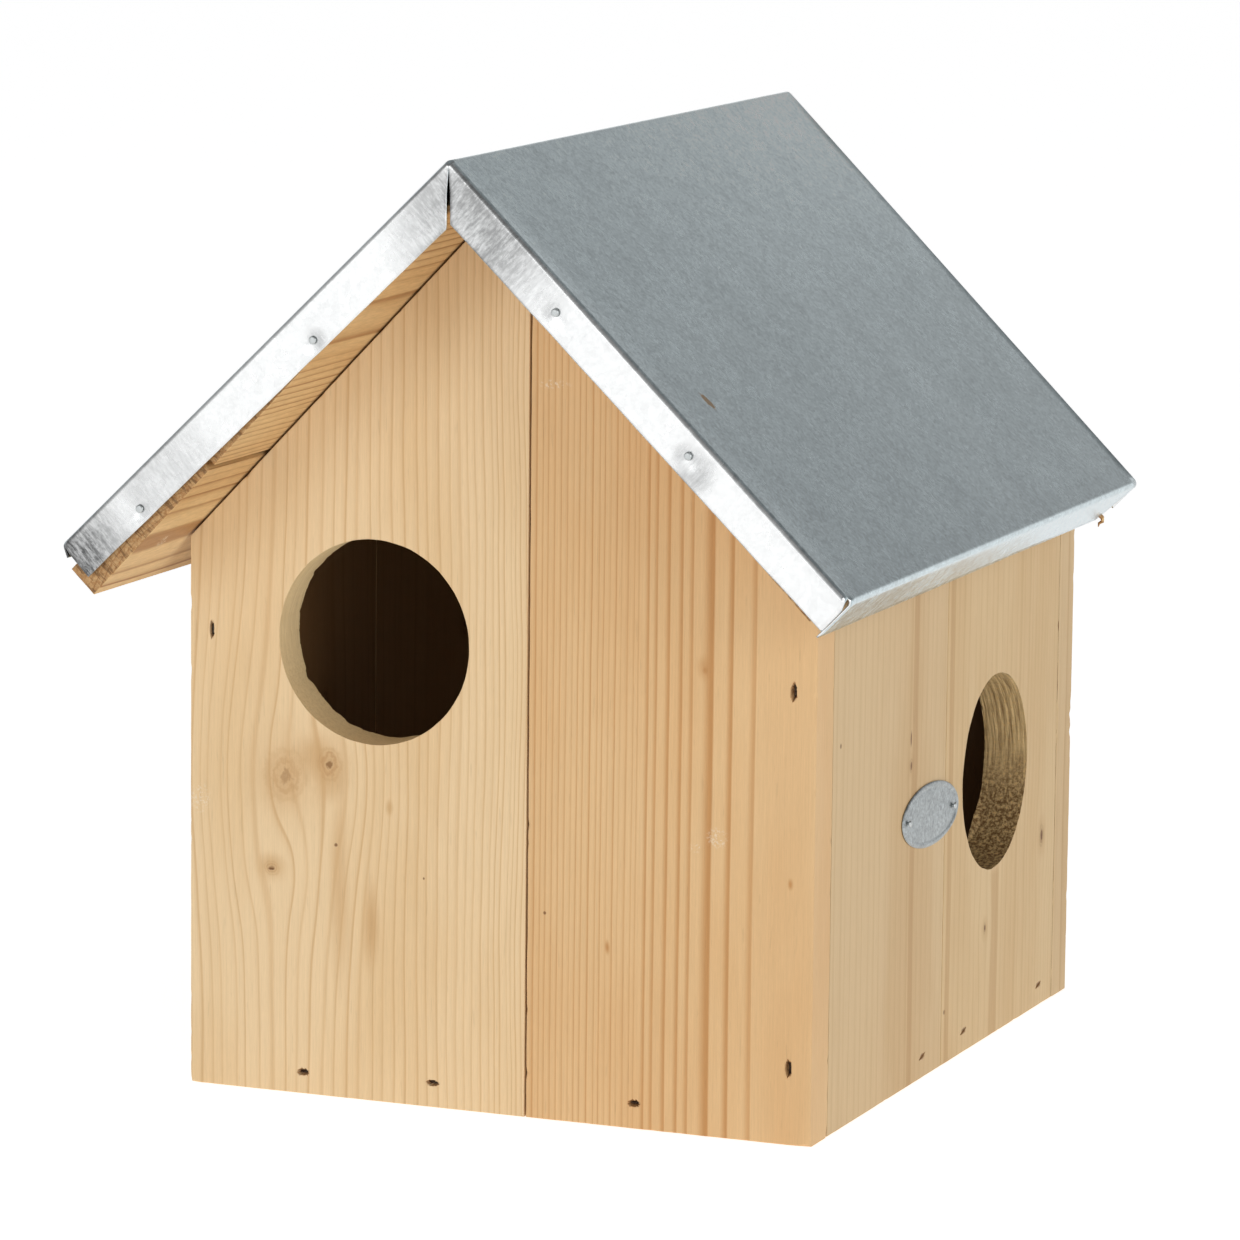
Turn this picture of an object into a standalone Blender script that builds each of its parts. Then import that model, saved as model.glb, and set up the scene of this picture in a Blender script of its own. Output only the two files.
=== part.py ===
"""A gabled nest box of rough boards with a folded zinc roof and a side door that swings up.

The box stands on Z = 0 and its front gable faces -Y. The origin is the middle of its underside.
Every board, fastener and fitting is an object of its own, and fasteners sit in real pockets.
"""

import math

import bmesh
import bpy
from mathutils import Matrix, Vector

MM = 0.001

# Walls
WALL_WIDTH = 260.0 * MM
WALL_DEPTH = 306.0 * MM
EAVE_HEIGHT = 218.4 * MM
BOARD = 18.5 * MM
FIT_GAP = 0.3 * MM
SOFFIT_GAP = 0.9 * MM
FRONT_SEAM_X = 12.6 * MM
BACK_SEAM_X = -17.0 * MM
RIGHT_SEAM_Y = -4.9 * MM
FLOOR_SEAM_Y = 10.0 * MM
HOLE_RADIUS = 40.0 * MM
FRONT_HOLE = (-52.0 * MM, 180.7 * MM)
SIDE_HOLE = (56.0 * MM, 109.6 * MM)

# Sheet, measured along the slope from the ridge and down from the sheet's outer face
PITCH = math.radians(44.0)
RIDGE_HEIGHT = 373.69 * MM
SLOPE_LENGTH = 224.0 * MM
ROOF_FRONT_Y = -203.0 * MM
RIDGE_BACK_Y = 152.5 * MM
EAVE_BACK_Y = 143.0 * MM
SHEET = 0.7 * MM
FRONT_FLANGE = {-1: (20.0 * MM, 16.7 * MM), 1: (17.4 * MM, 16.2 * MM)}
BACK_FLANGE = {-1: (14.4 * MM, 16.7 * MM), 1: (14.4 * MM, 16.2 * MM)}
FLANGE_END_GAP = 0.4 * MM
BEND_RADIUS = 1.5 * MM
RIDGE_RADIUS = 2.5 * MM
SLIT = 1.5 * MM
BEND_STEPS = 3
RIDGE_STEPS = 6
LEFT_LIP = (math.radians(65.0), 7.7 * MM, 3.0 * MM)
RIGHT_LIP = (math.radians(90.0), 19.5 * MM, 14.0 * MM)

# Roof boards, measured along the soffit from its apex and up from its face
SOFFIT_PITCH = {-1: math.radians(46.2), 1: math.radians(45.0)}
ROOF_BOARD = 13.3 * MM
ROOF_SEAM = 141.7 * MM
ROOF_BOARD_END = {-1: (214.0 * MM, 212.3 * MM), 1: (204.0 * MM, 204.0 * MM)}
BOARD_END_GAP = 1.2 * MM
RIDGE_FLAT = 1.9 * MM

# Door
DOOR_SIDE_GAP = 1.0 * MM
DOOR_FLOOR_GAP = 2.0 * MM
DOOR_SEAM_Y = -18.5 * MM
DOOR_TOP_GAP = 1.8 * MM
PIVOT_HEIGHT = 180.9 * MM
BATTEN = (16.0 * MM, 232.0 * MM, 28.0 * MM)
BATTEN_HEIGHTS = {"lower": 38.0 * MM, "upper": 94.0 * MM}
DOOR_STAPLES = {"front": -70.0 * MM, "rear": 74.0 * MM}

# Fasteners
STAPLE_WIDTH = 9.0 * MM
STAPLE_WIRE = 1.2 * MM
STAPLE_LEG = 28.0 * MM
BATTEN_STAPLE_LEG = 25.0 * MM
ROOF_STAPLE_LEG = 30.0 * MM
POCKET_MARGIN = 0.35 * MM
SHEET_NAIL = (2.3 * MM, 0.9 * MM, 16.0 * MM)
TAG_NAIL = (1.3 * MM, 0.6 * MM, 9.0 * MM)
PIVOT_NAIL = (3.0 * MM, 1.5 * MM, 38.0 * MM)
HEAD_THICKNESS = 0.9 * MM
ROUND_SEGMENTS = 16

# Turn hook
HOOK_RADIUS = 1.5 * MM
HOOK_Y = 144.0 * MM
HOOK_HEIGHT = 42.0 * MM
HOOK_SHANK = 20.0 * MM
HOOK_ARM = 22.0 * MM
HOOK_CLEARANCE = 1.0 * MM
HOOK_BEND = 3.5 * MM

# Tag
TAG_HALF = (33.0 * MM, 12.8 * MM)
TAG_CENTRE = (-23.4 * MM, 105.7 * MM)
TAG_TILT = math.radians(-2.1)
TAG_THICKNESS = 0.6 * MM
TAG_SEGMENTS = 40

SIN = math.sin(PITCH)
COS = math.cos(PITCH)
HALF_WIDTH = WALL_WIDTH / 2
HALF_DEPTH = WALL_DEPTH / 2
INNER_X = HALF_WIDTH - BOARD
INNER_Y = HALF_DEPTH - BOARD
SOFFIT_APEX = EAVE_HEIGHT + HALF_WIDTH * math.tan(SOFFIT_PITCH[-1])
FLOOR_MIDDLE = BOARD / 2

FRONT = Vector((0.0, 1.0, 0.0))
BACK = Vector((0.0, -1.0, 0.0))
FROM_RIGHT = Vector((-1.0, 0.0, 0.0))
FROM_LEFT = Vector((1.0, 0.0, 0.0))
UP = Vector((0.0, 0.0, 1.0))
ACROSS = Vector((1.0, 0.0, 0.0))
SIDE_NAMES = {-1: "left", 1: "right"}

pockets = {}


# Frame

def clear_scene():
    """Start from an empty scene."""
    for obj in list(bpy.data.objects):
        bpy.data.objects.remove(obj, do_unlink=True)


def slope_point(side, along, below):
    """X and Z of a point on one slope (side -1 is left), from the sharp ridge of the sheet."""
    x = side * (along * COS - below * SIN)
    z = RIDGE_HEIGHT - along * SIN - below * COS
    return x, z


def board_point(side, along, above):
    """X and Z of a point in a roof board, from the soffit's apex and up from the soffit."""
    pitch = SOFFIT_PITCH[side]
    x = side * (along * math.cos(pitch) + above * math.sin(pitch))
    z = SOFFIT_APEX - along * math.sin(pitch) + above * math.cos(pitch)
    return x, z


def soffit_height(x, gap=0.0):
    """Height of the roof's underside at x, less a gap measured square to it."""
    pitch = SOFFIT_PITCH[-1 if x < 0.0 else 1]
    return SOFFIT_APEX - abs(x) * math.tan(pitch) - gap / math.cos(pitch)


def roof_back(along):
    """Y of the sheet's rear edge, which runs in from the ridge to the eaves."""
    return RIDGE_BACK_Y + (EAVE_BACK_Y - RIDGE_BACK_Y) * along / SLOPE_LENGTH


def gable_face(along, outward):
    """Y of the outer face of the front (outward -1) or back flanges."""
    return ROOF_FRONT_Y if outward < 0 else roof_back(along)


# Materials

def to_linear(value):
    """One sRGB channel, 0 to 255, as a linear value."""
    share = value / 255.0
    return share / 12.92 if share <= 0.04045 else ((share + 0.055) / 1.055) ** 2.4


def material(name, colour, roughness, metallic=0.0):
    """A plain Principled material, made once."""
    found = bpy.data.materials.get(name)
    if found:
        return found
    made = bpy.data.materials.new(name)
    made.use_nodes = True
    shader = made.node_tree.nodes["Principled BSDF"]
    shader.inputs["Base Color"].default_value = [to_linear(c) for c in colour] + [1.0]
    shader.inputs["Roughness"].default_value = roughness
    shader.inputs["Metallic"].default_value = metallic
    return made


def pale_spruce():
    """The left front board's light wood."""
    return material("pale_spruce", (226, 196, 150), 0.75)


def warm_spruce():
    """The right front board's redder wood."""
    return material("warm_spruce", (221, 180, 130), 0.75)


def side_spruce():
    """The duller wood of the side walls, the back and the floor."""
    return material("side_spruce", (204, 176, 135), 0.78)


def roof_spruce():
    """The brown rough-sawn wood of the roof boards."""
    return material("roof_spruce", (200, 155, 100), 0.85)


def zinc():
    """Galvanised sheet."""
    return material("zinc", (150, 158, 161), 0.42, 0.9)


def tag_metal():
    """The tag's dull pressed aluminium."""
    return material("tag_metal", (169, 178, 181), 0.5, 0.8)


def fastener_steel():
    """Staples and nails."""
    return material("fastener_steel", (128, 118, 104), 0.45, 0.9)


def hook_steel():
    """The bright plated turn hook."""
    return material("hook_steel", (172, 172, 168), 0.32, 1.0)


# Solids

def finish(name, mesh, surface, smooth=False):
    """Put a mesh in the scene as one object."""
    if smooth:
        mesh.shade_smooth()
        mesh.set_sharp_from_angle(angle=math.radians(35.0))
    obj = bpy.data.objects.new(name, mesh)
    bpy.context.scene.collection.objects.link(obj)
    if surface:
        obj.data.materials.append(surface)
    return obj


def prism(name, outline, sweep, surface=None):
    """A closed solid: the outline's 3-D points joined to the same points moved by sweep.

    sweep is a vector, or one vector for each point of the outline.
    """
    sweeps = sweep if isinstance(sweep, list) else [sweep] * len(outline)
    mesh = bpy.data.meshes.new(name)
    build = bmesh.new()
    near = [build.verts.new(point) for point in outline]
    far = [build.verts.new(Vector(point) + move) for point, move in zip(outline, sweeps)]
    build.faces.new(near)
    build.faces.new(far)
    count = len(outline)
    for index in range(count):
        after = (index + 1) % count
        build.faces.new((near[index], near[after], far[after], far[index]))
    bmesh.ops.recalc_face_normals(build, faces=build.faces)
    build.to_mesh(mesh)
    build.free()
    return finish(name, mesh, surface)


def box(name, low, high, surface=None):
    """A box between two corners."""
    x0, y0, z0 = low
    x1, y1, z1 = high
    outline = [(x0, y0, z0), (x1, y0, z0), (x1, y1, z0), (x0, y1, z0)]
    return prism(name, outline, Vector((0.0, 0.0, z1 - z0)), surface)


def turned(name, profile, origin, direction, surface=None, segments=ROUND_SEGMENTS):
    """A solid of revolution: (distance, radius) pairs along direction, open ends closed flat."""
    direction = Vector(direction).normalized()
    side = direction.orthogonal().normalized()
    other = direction.cross(side)
    mesh = bpy.data.meshes.new(name)
    build = bmesh.new()
    rings = []
    for distance, radius in profile:
        centre = Vector(origin) + direction * distance
        ring = []
        for step in range(segments):
            angle = 2 * math.pi * step / segments
            ring.append(build.verts.new(centre + (side * math.cos(angle) + other * math.sin(angle)) * radius))
        rings.append(ring)
    for near, far in zip(rings, rings[1:]):
        for step in range(segments):
            after = (step + 1) % segments
            build.faces.new((near[step], near[after], far[after], far[step]))
    build.faces.new(rings[0])
    build.faces.new(rings[-1])
    bmesh.ops.recalc_face_normals(build, faces=build.faces)
    build.to_mesh(mesh)
    build.free()
    return finish(name, mesh, surface, smooth=True)


# Pockets

def as_cutter(obj, boards):
    """Turn an object into a cutter for each named board."""
    obj.hide_render = True
    obj.display_type = "WIRE"
    bpy.context.scene.collection.objects.unlink(obj)
    for board in boards:
        if board not in pockets:
            pockets[board] = bpy.data.collections.new("pockets_" + board)
            pockets[board].hide_render = True
            bpy.context.scene.collection.children.link(pockets[board])
        pockets[board].objects.link(obj)


def cut_pockets():
    """Give each board one Boolean that takes away all its pockets and holes."""
    for board, cutters in pockets.items():
        cut = bpy.data.objects[board].modifiers.new("pockets", "BOOLEAN")
        cut.operation = "DIFFERENCE"
        cut.operand_type = "COLLECTION"
        cut.collection = cutters
        cut.solver = "EXACT"


def entrance(name, centre, direction, board):
    """A round entrance hole through one board."""
    reach = BOARD * 2
    start = Vector(centre) - Vector(direction) * reach / 4
    profile = [(0.0, HOLE_RADIUS), (reach * 1.5, HOLE_RADIUS)]
    as_cutter(turned(name, profile, start, direction, segments=64), [board])


def staple_solid(name, crown, across, inward, leg, margin, lift, surface):
    """A U of square wire with its crown's outer face at crown, grown on all sides by margin."""
    across = Vector(across).normalized()
    inward = Vector(inward).normalized()
    half = STAPLE_WIDTH / 2 + margin
    bar = STAPLE_WIRE + 2 * margin
    flat = [(-half, -lift), (half, -lift), (half, leg + margin), (half - bar, leg + margin),
            (half - bar, STAPLE_WIRE + margin), (bar - half, STAPLE_WIRE + margin),
            (bar - half, leg + margin), (-half, leg + margin)]
    thick = across.cross(inward) * bar
    outline = [Vector(crown) + across * a + inward * d - thick / 2 for a, d in flat]
    return prism(name, outline, thick, surface)


def staple(name, crown, across, inward, boards, leg=STAPLE_LEG):
    """A staple driven flush, with its pocket in each board that it holds."""
    sink = 0.25 * MM
    seat = Vector(crown) + Vector(inward).normalized() * sink
    staple_solid(name, seat, across, inward, leg, 0.0, 0.0, fastener_steel())
    pocket = staple_solid(name + "_pocket", seat, across, inward, leg, POCKET_MARGIN, 2 * MM, None)
    as_cutter(pocket, boards)


def nail(name, seat, inward, size, boards):
    """A flat-headed nail whose head lies just clear of seat, with its bore in each board."""
    head, shank, length = size
    start = Vector(seat) - Vector(inward).normalized() * (FIT_GAP + HEAD_THICKNESS)
    under = HEAD_THICKNESS
    profile = [(0.0, head * 0.8), (under * 0.4, head), (under, head), (under, shank),
               (length - 2 * shank, shank), (length, shank * 0.3)]
    turned(name, profile, start, inward, fastener_steel())
    wide = shank + POCKET_MARGIN
    bore = turned(name + "_bore", [(0.0, wide), (length + POCKET_MARGIN, wide)], start, inward)
    as_cutter(bore, boards)


# Walls and floor

def gable_board(name, x_from, x_to, y_from, surface):
    """An upright board of a gable wall, its top cut to the slope of the soffit."""
    tops = sorted({x_to, x_from} | ({0.0} if x_from < 0.0 < x_to else set()), reverse=True)
    outline = [(x_from, y_from, 0.0), (x_to, y_from, 0.0)]
    outline += [(x, y_from, soffit_height(x, SOFFIT_GAP)) for x in tops]
    return prism(name, outline, Vector((0.0, BOARD, 0.0)), surface)


def side_board(name, side, y_from, y_to, foot, top_gap, surface):
    """An upright board of a side wall, its top bevelled to the soffit."""
    inner = side * INNER_X
    outer = side * HALF_WIDTH
    outline = [(inner, y_from, foot), (outer, y_from, foot),
               (outer, y_from, soffit_height(outer, top_gap)),
               (inner, y_from, soffit_height(inner, top_gap))]
    return prism(name, outline, Vector((0.0, y_to - y_from, 0.0)), surface)


def walls():
    """Two gables of two boards each, and the fixed right wall."""
    half_gap = FIT_GAP / 2
    gable_board("front_board_left", -HALF_WIDTH, FRONT_SEAM_X - half_gap, -HALF_DEPTH, pale_spruce())
    gable_board("front_board_right", FRONT_SEAM_X + half_gap, HALF_WIDTH, -HALF_DEPTH, warm_spruce())
    gable_board("back_board_left", -HALF_WIDTH, BACK_SEAM_X - half_gap, INNER_Y, side_spruce())
    gable_board("back_board_right", BACK_SEAM_X + half_gap, HALF_WIDTH, INNER_Y, side_spruce())
    front = -INNER_Y + FIT_GAP
    back = INNER_Y - FIT_GAP
    side_board("right_wall_front_board", 1, front, RIGHT_SEAM_Y - half_gap, 0.0, SOFFIT_GAP, side_spruce())
    side_board("right_wall_rear_board", 1, RIGHT_SEAM_Y + half_gap, back, 0.0, SOFFIT_GAP, side_spruce())
    entrance("front_entrance", (FRONT_HOLE[0], -HALF_DEPTH, FRONT_HOLE[1]), FRONT, "front_board_left")
    entrance("side_entrance", (HALF_WIDTH, SIDE_HOLE[0], SIDE_HOLE[1]), FROM_RIGHT, "right_wall_rear_board")


def floor():
    """Two floor boards inside the walls."""
    half_gap = FIT_GAP / 2
    left = -INNER_X + DOOR_SIDE_GAP
    right = INNER_X - FIT_GAP
    ends = {"floor_front_board": (-INNER_Y + FIT_GAP, FLOOR_SEAM_Y - half_gap),
            "floor_rear_board": (FLOOR_SEAM_Y + half_gap, INNER_Y - FIT_GAP)}
    for name, (y_from, y_to) in ends.items():
        box(name, (left, y_from, 0.0), (right, y_to, BOARD), side_spruce())


def wall_staples():
    """Staples that hold the gables and the right wall to the floor and to each other."""
    front_floor = {"a": (-81.4 * MM, 8.5 * MM, "left"), "b": (-26.3 * MM, 9.6 * MM, "left"),
                   "c": (57.8 * MM, 9.9 * MM, "right")}
    for letter, (x, z, board) in front_floor.items():
        crown = (x, -HALF_DEPTH, z)
        staple("staple_front_floor_" + letter, crown, ACROSS, FRONT,
               ["front_board_" + board, "floor_front_board"])
    back_floor = {"a": (-84.0 * MM, "left"), "b": (22.0 * MM, "right"), "c": (82.0 * MM, "right")}
    for letter, (x, board) in back_floor.items():
        crown = (x, HALF_DEPTH, FLOOR_MIDDLE)
        staple("staple_back_floor_" + letter, crown, ACROSS, BACK,
               ["back_board_" + board, "floor_rear_board"])
    edges = {"upper": 174.2 * MM, "lower": 29.9 * MM}
    for place, z in edges.items():
        middle = HALF_WIDTH - BOARD / 2
        staple("staple_front_edge_" + place, (middle, -HALF_DEPTH, z), UP, FRONT,
               ["front_board_right", "right_wall_front_board"])
        staple("staple_back_edge_" + place, (middle, HALF_DEPTH, z), UP, BACK,
               ["back_board_right", "right_wall_rear_board"])
    side_floor = {"a": (-27.0 * MM, "front", "front"), "b": (22.7 * MM, "rear", "rear"),
                  "c": (117.0 * MM, "rear", "rear")}
    tilt = math.radians(15.0)
    slanted = Vector((0.0, math.cos(tilt), math.sin(tilt)))
    for letter, (y, wall, ground) in side_floor.items():
        crown = (HALF_WIDTH, y, FLOOR_MIDDLE - 0.5 * MM)
        staple("staple_side_floor_" + letter, crown, slanted, FROM_RIGHT,
               ["right_wall_%s_board" % wall, "floor_%s_board" % ground])


# Roof

def roof_board(name, side, section):
    """A roof board from its section, as (along, above) pairs, its rear end cut to the sheet."""
    front = ROOF_FRONT_Y + BOARD_END_GAP
    outline = []
    sweeps = []
    for along, above in section:
        x, z = board_point(side, along, above)
        outline.append((x, front, z))
        down_sheet = abs(x) * COS + (RIDGE_HEIGHT - z) * SIN
        back = roof_back(min(down_sheet, SLOPE_LENGTH)) - BOARD_END_GAP
        sweeps.append(Vector((0.0, back - front, 0.0)))
    return prism(name, outline, sweeps, roof_spruce())


def ridge_edge(side):
    """Section of an upper board's ridge edge: mitred at the middle and planed flat on top."""
    half_gap = FIT_GAP / 2
    pitch = SOFFIT_PITCH[side]
    foot = half_gap / math.cos(pitch)
    middle = (half_gap * math.cos(pitch) - RIDGE_FLAT * math.sin(pitch),
              half_gap * math.sin(pitch) + RIDGE_FLAT * math.cos(pitch))
    top = (ROOF_BOARD * math.cos(pitch) - RIDGE_FLAT) / math.sin(pitch)
    return [(foot, 0.0), middle, (top, ROOF_BOARD)]


def roof_boards():
    """Two boards on each slope, laid a little steeper than the sheet that covers them."""
    half_gap = FIT_GAP / 2
    for side, side_name in SIDE_NAMES.items():
        low_end, high_end = ROOF_BOARD_END[side]
        upper = ridge_edge(side) + [(ROOF_SEAM - half_gap, ROOF_BOARD), (ROOF_SEAM - half_gap, 0.0)]
        lower = [(ROOF_SEAM + half_gap, 0.0), (ROOF_SEAM + half_gap, ROOF_BOARD),
                 (high_end, ROOF_BOARD), (low_end, 0.0)]
        roof_board("roof_%s_upper_board" % side_name, side, upper)
        roof_board("roof_%s_lower_board" % side_name, side, lower)


def roof_staples():
    """One staple through each roof board into the top of each gable."""
    walls_y = {"front": -HALF_DEPTH + BOARD / 2, "back": INNER_Y + BOARD / 4}
    places = {"upper": 105.0 * MM, "lower": 163.0 * MM}
    for side, side_name in SIDE_NAMES.items():
        pitch = SOFFIT_PITCH[side]
        along_slope = Vector((side * math.cos(pitch), 0.0, -math.sin(pitch)))
        inward = Vector((-side * math.sin(pitch), 0.0, -math.cos(pitch)))
        for level, along in places.items():
            for wall, y in walls_y.items():
                x, z = board_point(side, along, ROOF_BOARD)
                staple("staple_roof_%s_%s_%s" % (side_name, level, wall), (x, y, z), along_slope, inward,
                       ["roof_%s_%s_board" % (side_name, level), "%s_board_%s" % (wall, side_name)],
                       ROOF_STAPLE_LEG)


def sheet_profile():
    """The sheet's outer face as a row of X, Z points from the left lip to the right lip.

    Returns the points, each with the rear edge's Y, and for each slope the two points between
    which its flanges hang.
    """
    halves = {}
    for side, (turn, lip, mitre) in {-1: LEFT_LIP, 1: RIGHT_LIP}.items():
        tangent = BEND_RADIUS * math.tan(turn / 2)
        flange_end = SLOPE_LENGTH - tangent - FLANGE_END_GAP
        row = [(RIDGE_RADIUS * math.tan(PITCH), 0.0), (flange_end, 0.0)]
        for step in range(BEND_STEPS + 1):
            angle = turn * step / BEND_STEPS
            row.append((SLOPE_LENGTH - tangent + BEND_RADIUS * math.sin(angle),
                        BEND_RADIUS * (1 - math.cos(angle))))
        along, below = row[-1]
        row.append((along + (lip - tangent) * math.cos(turn), below + (lip - tangent) * math.sin(turn)))
        backs = [roof_back(min(a, SLOPE_LENGTH)) - BEND_RADIUS for a, _ in row]
        backs[-1] -= mitre
        halves[side] = [(slope_point(side, a, b), back) for (a, b), back in zip(row, backs)]
    ridge = []
    centre_z = RIDGE_HEIGHT - RIDGE_RADIUS / COS
    for step in range(1, RIDGE_STEPS):
        angle = PITCH * (2 * step / RIDGE_STEPS - 1)
        point = (RIDGE_RADIUS * math.sin(angle), centre_z + RIDGE_RADIUS * math.cos(angle))
        ridge.append((point, RIDGE_BACK_Y - BEND_RADIUS))
    points = halves[-1][::-1] + ridge + halves[1]
    left = len(halves[-1])
    right = left + len(ridge)
    return points, {-1: (left - 1, left - 2), 1: (right, right + 1)}


def flange_rows(side, along, outward):
    """Points of one flange side edge, from the fold down to its hem."""
    rows = []
    for step in range(1, BEND_STEPS + 1):
        angle = math.pi / 2 * step / BEND_STEPS
        x, z = slope_point(side, along, BEND_RADIUS * (1 - math.cos(angle)))
        rows.append((x, gable_face(along, outward) - outward * BEND_RADIUS * (1 - math.sin(angle)), z))
    at_ridge = along < SLOPE_LENGTH / 2
    depth = (FRONT_FLANGE if outward < 0 else BACK_FLANGE)[side][0 if at_ridge else 1]
    foot_along = (SLIT / 2 + depth * SIN) / COS if at_ridge else along
    x, z = slope_point(side, foot_along, depth)
    rows.append((x, gable_face(foot_along, outward), z))
    return rows


def roof_sheet():
    """One folded sheet: two slopes, a rounded ridge, eave lips, and flanges at both ends."""
    points, flange_ends = sheet_profile()
    mesh = bpy.data.meshes.new("roof_sheet")
    build = bmesh.new()
    front_y = ROOF_FRONT_Y + BEND_RADIUS
    front = [build.verts.new((x, front_y, z)) for (x, z), _ in points]
    back = [build.verts.new((x, y, z)) for (x, z), y in points]
    for index in range(len(points) - 1):
        build.faces.new((front[index], front[index + 1], back[index + 1], back[index]))
    ridge_along = RIDGE_RADIUS * math.tan(PITCH)
    for side, (ridge_index, eave_index) in flange_ends.items():
        tangent = BEND_RADIUS * math.tan((LEFT_LIP if side < 0 else RIGHT_LIP)[0] / 2)
        eave_along = SLOPE_LENGTH - tangent - FLANGE_END_GAP
        for edge, outward in ((front, -1), (back, 1)):
            top = [edge[ridge_index], edge[eave_index]]
            inner = flange_rows(side, ridge_along, outward)
            outer = flange_rows(side, eave_along, outward)
            for inner_point, outer_point in zip(inner, outer):
                lower = [build.verts.new(inner_point), build.verts.new(outer_point)]
                build.faces.new((top[0], top[1], lower[1], lower[0]))
                top = lower
    bmesh.ops.recalc_face_normals(build, faces=build.faces)
    build.to_mesh(mesh)
    build.free()
    sheet = finish("roof_sheet", mesh, zinc())
    thicken = sheet.modifiers.new("thickness", "SOLIDIFY")
    thicken.thickness = SHEET
    thicken.offset = -1.0
    thicken.use_even_offset = True


def flange_nails():
    """Four sheet nails through the flanges at each end, into the end grain of the boards."""
    places = {"left_upper": (-1, 89.0, 12.6, "left_upper"), "left_lower": (-1, 188.6, 11.7, "left_lower"),
              "right_upper": (1, 69.4, 9.8, "right_upper"), "right_lower": (1, 142.6, 8.8, "right_upper")}
    for name, (side, along, below, board) in places.items():
        x, z = slope_point(side, along * MM, below * MM)
        pierced = ["roof_sheet", "roof_" + board + "_board"]
        nail("nail_front_" + name, (x, ROOF_FRONT_Y, z), FRONT, SHEET_NAIL, pierced)
        nail("nail_back_" + name, (x, roof_back(along * MM), z), BACK, SHEET_NAIL, pierced)


# Door

def door():
    """The left wall: two boards and two battens that turn together on the pivot nails."""
    half_gap = FIT_GAP / 2
    front = -INNER_Y + DOOR_SIDE_GAP
    back = INNER_Y - DOOR_SIDE_GAP
    spans = {"front": (front, DOOR_SEAM_Y - half_gap), "rear": (DOOR_SEAM_Y + half_gap, back)}
    for place, (y_from, y_to) in spans.items():
        name = "door_%s_board" % place
        side_board(name, -1, y_from, y_to, DOOR_FLOOR_GAP, DOOR_TOP_GAP, side_spruce())
    thick, length, height = BATTEN
    inner = -INNER_X + FIT_GAP
    for place, z in BATTEN_HEIGHTS.items():
        name = "door_batten_" + place
        low = (inner, -length / 2, z - height / 2)
        high = (inner + thick, length / 2, z + height / 2)
        box(name, low, high, side_spruce())
        for board, y in DOOR_STAPLES.items():
            staple("staple_door_%s_%s" % (place, board), (-HALF_WIDTH, y, z), Vector((0.0, 1.0, 0.0)),
                   FROM_LEFT, ["door_%s_board" % board, name], BATTEN_STAPLE_LEG)


def hang_door():
    """Parent the door's pieces to an empty on the line of the pivot nails."""
    pivot = bpy.data.objects.new("door_pivot", None)
    bpy.context.scene.collection.objects.link(pivot)
    pivot.location = (-HALF_WIDTH + BOARD / 2, 0.0, PIVOT_HEIGHT)
    for obj in list(bpy.context.scene.collection.objects):
        if obj.name.startswith(("door_front", "door_rear", "door_batten", "staple_door")):
            obj.parent = pivot
            obj.location = -pivot.location


def pivot_nails():
    """The two nails that the door turns on, through the front and back walls."""
    middle = -HALF_WIDTH + BOARD / 2
    sink = HEAD_THICKNESS + FIT_GAP + 0.3 * MM
    head, _, _ = PIVOT_NAIL
    for name, y, inward, board in (("front", -HALF_DEPTH, FRONT, "door_front_board"),
                                   ("back", HALF_DEPTH, BACK, "door_rear_board")):
        wall = name + "_board_left"
        seat = Vector((middle, y, PIVOT_HEIGHT)) + inward * sink
        nail("pivot_nail_" + name, seat, inward, PIVOT_NAIL, [wall, board])
        start = Vector((middle, y, PIVOT_HEIGHT)) - inward * MM
        depth = MM + sink
        wide = head + POCKET_MARGIN
        recess = turned(name + "_recess", [(0.0, wide), (depth, wide)], start, inward)
        as_cutter(recess, [wall])


# Fittings

def turn_hook():
    """A bent wire hook screwed into the back wall's edge. It turns on its own shank."""
    bend = HOOK_BEND
    reach = BOARD / 2 + HOOK_CLEARANCE + HOOK_RADIUS
    middle = -HALF_WIDTH + BOARD / 2
    path = [(HOOK_SHANK + middle - BOARD / 2, 0.0), (middle - reach + bend, 0.0)]
    steps = 6
    for step in range(1, steps + 1):
        angle = math.pi / 2 * step / steps
        path.append((middle - reach + bend - bend * math.sin(angle), -bend * (1 - math.cos(angle))))
    path.append((middle - reach, -HOOK_ARM))
    curve = bpy.data.curves.new("turn_hook", "CURVE")
    curve.dimensions = "3D"
    curve.bevel_depth = HOOK_RADIUS
    curve.bevel_resolution = 2
    curve.use_fill_caps = True
    line = curve.splines.new("POLY")
    line.points.add(len(path) - 1)
    for point, (x, z) in zip(line.points, path):
        point.co = (x, 0.0, z, 1.0)
    hook = bpy.data.objects.new("turn_hook", curve)
    bpy.context.scene.collection.objects.link(hook)
    hook.data.materials.append(hook_steel())
    hook.location = (0.0, HOOK_Y, HOOK_HEIGHT)
    wide = HOOK_RADIUS + POCKET_MARGIN
    start = (-HALF_WIDTH - MM, HOOK_Y, HOOK_HEIGHT)
    bore = turned("hook_bore", [(0.0, wide), (HOOK_SHANK + 2 * MM, wide)], start, FROM_LEFT)
    as_cutter(bore, ["back_board_left"])


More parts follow.
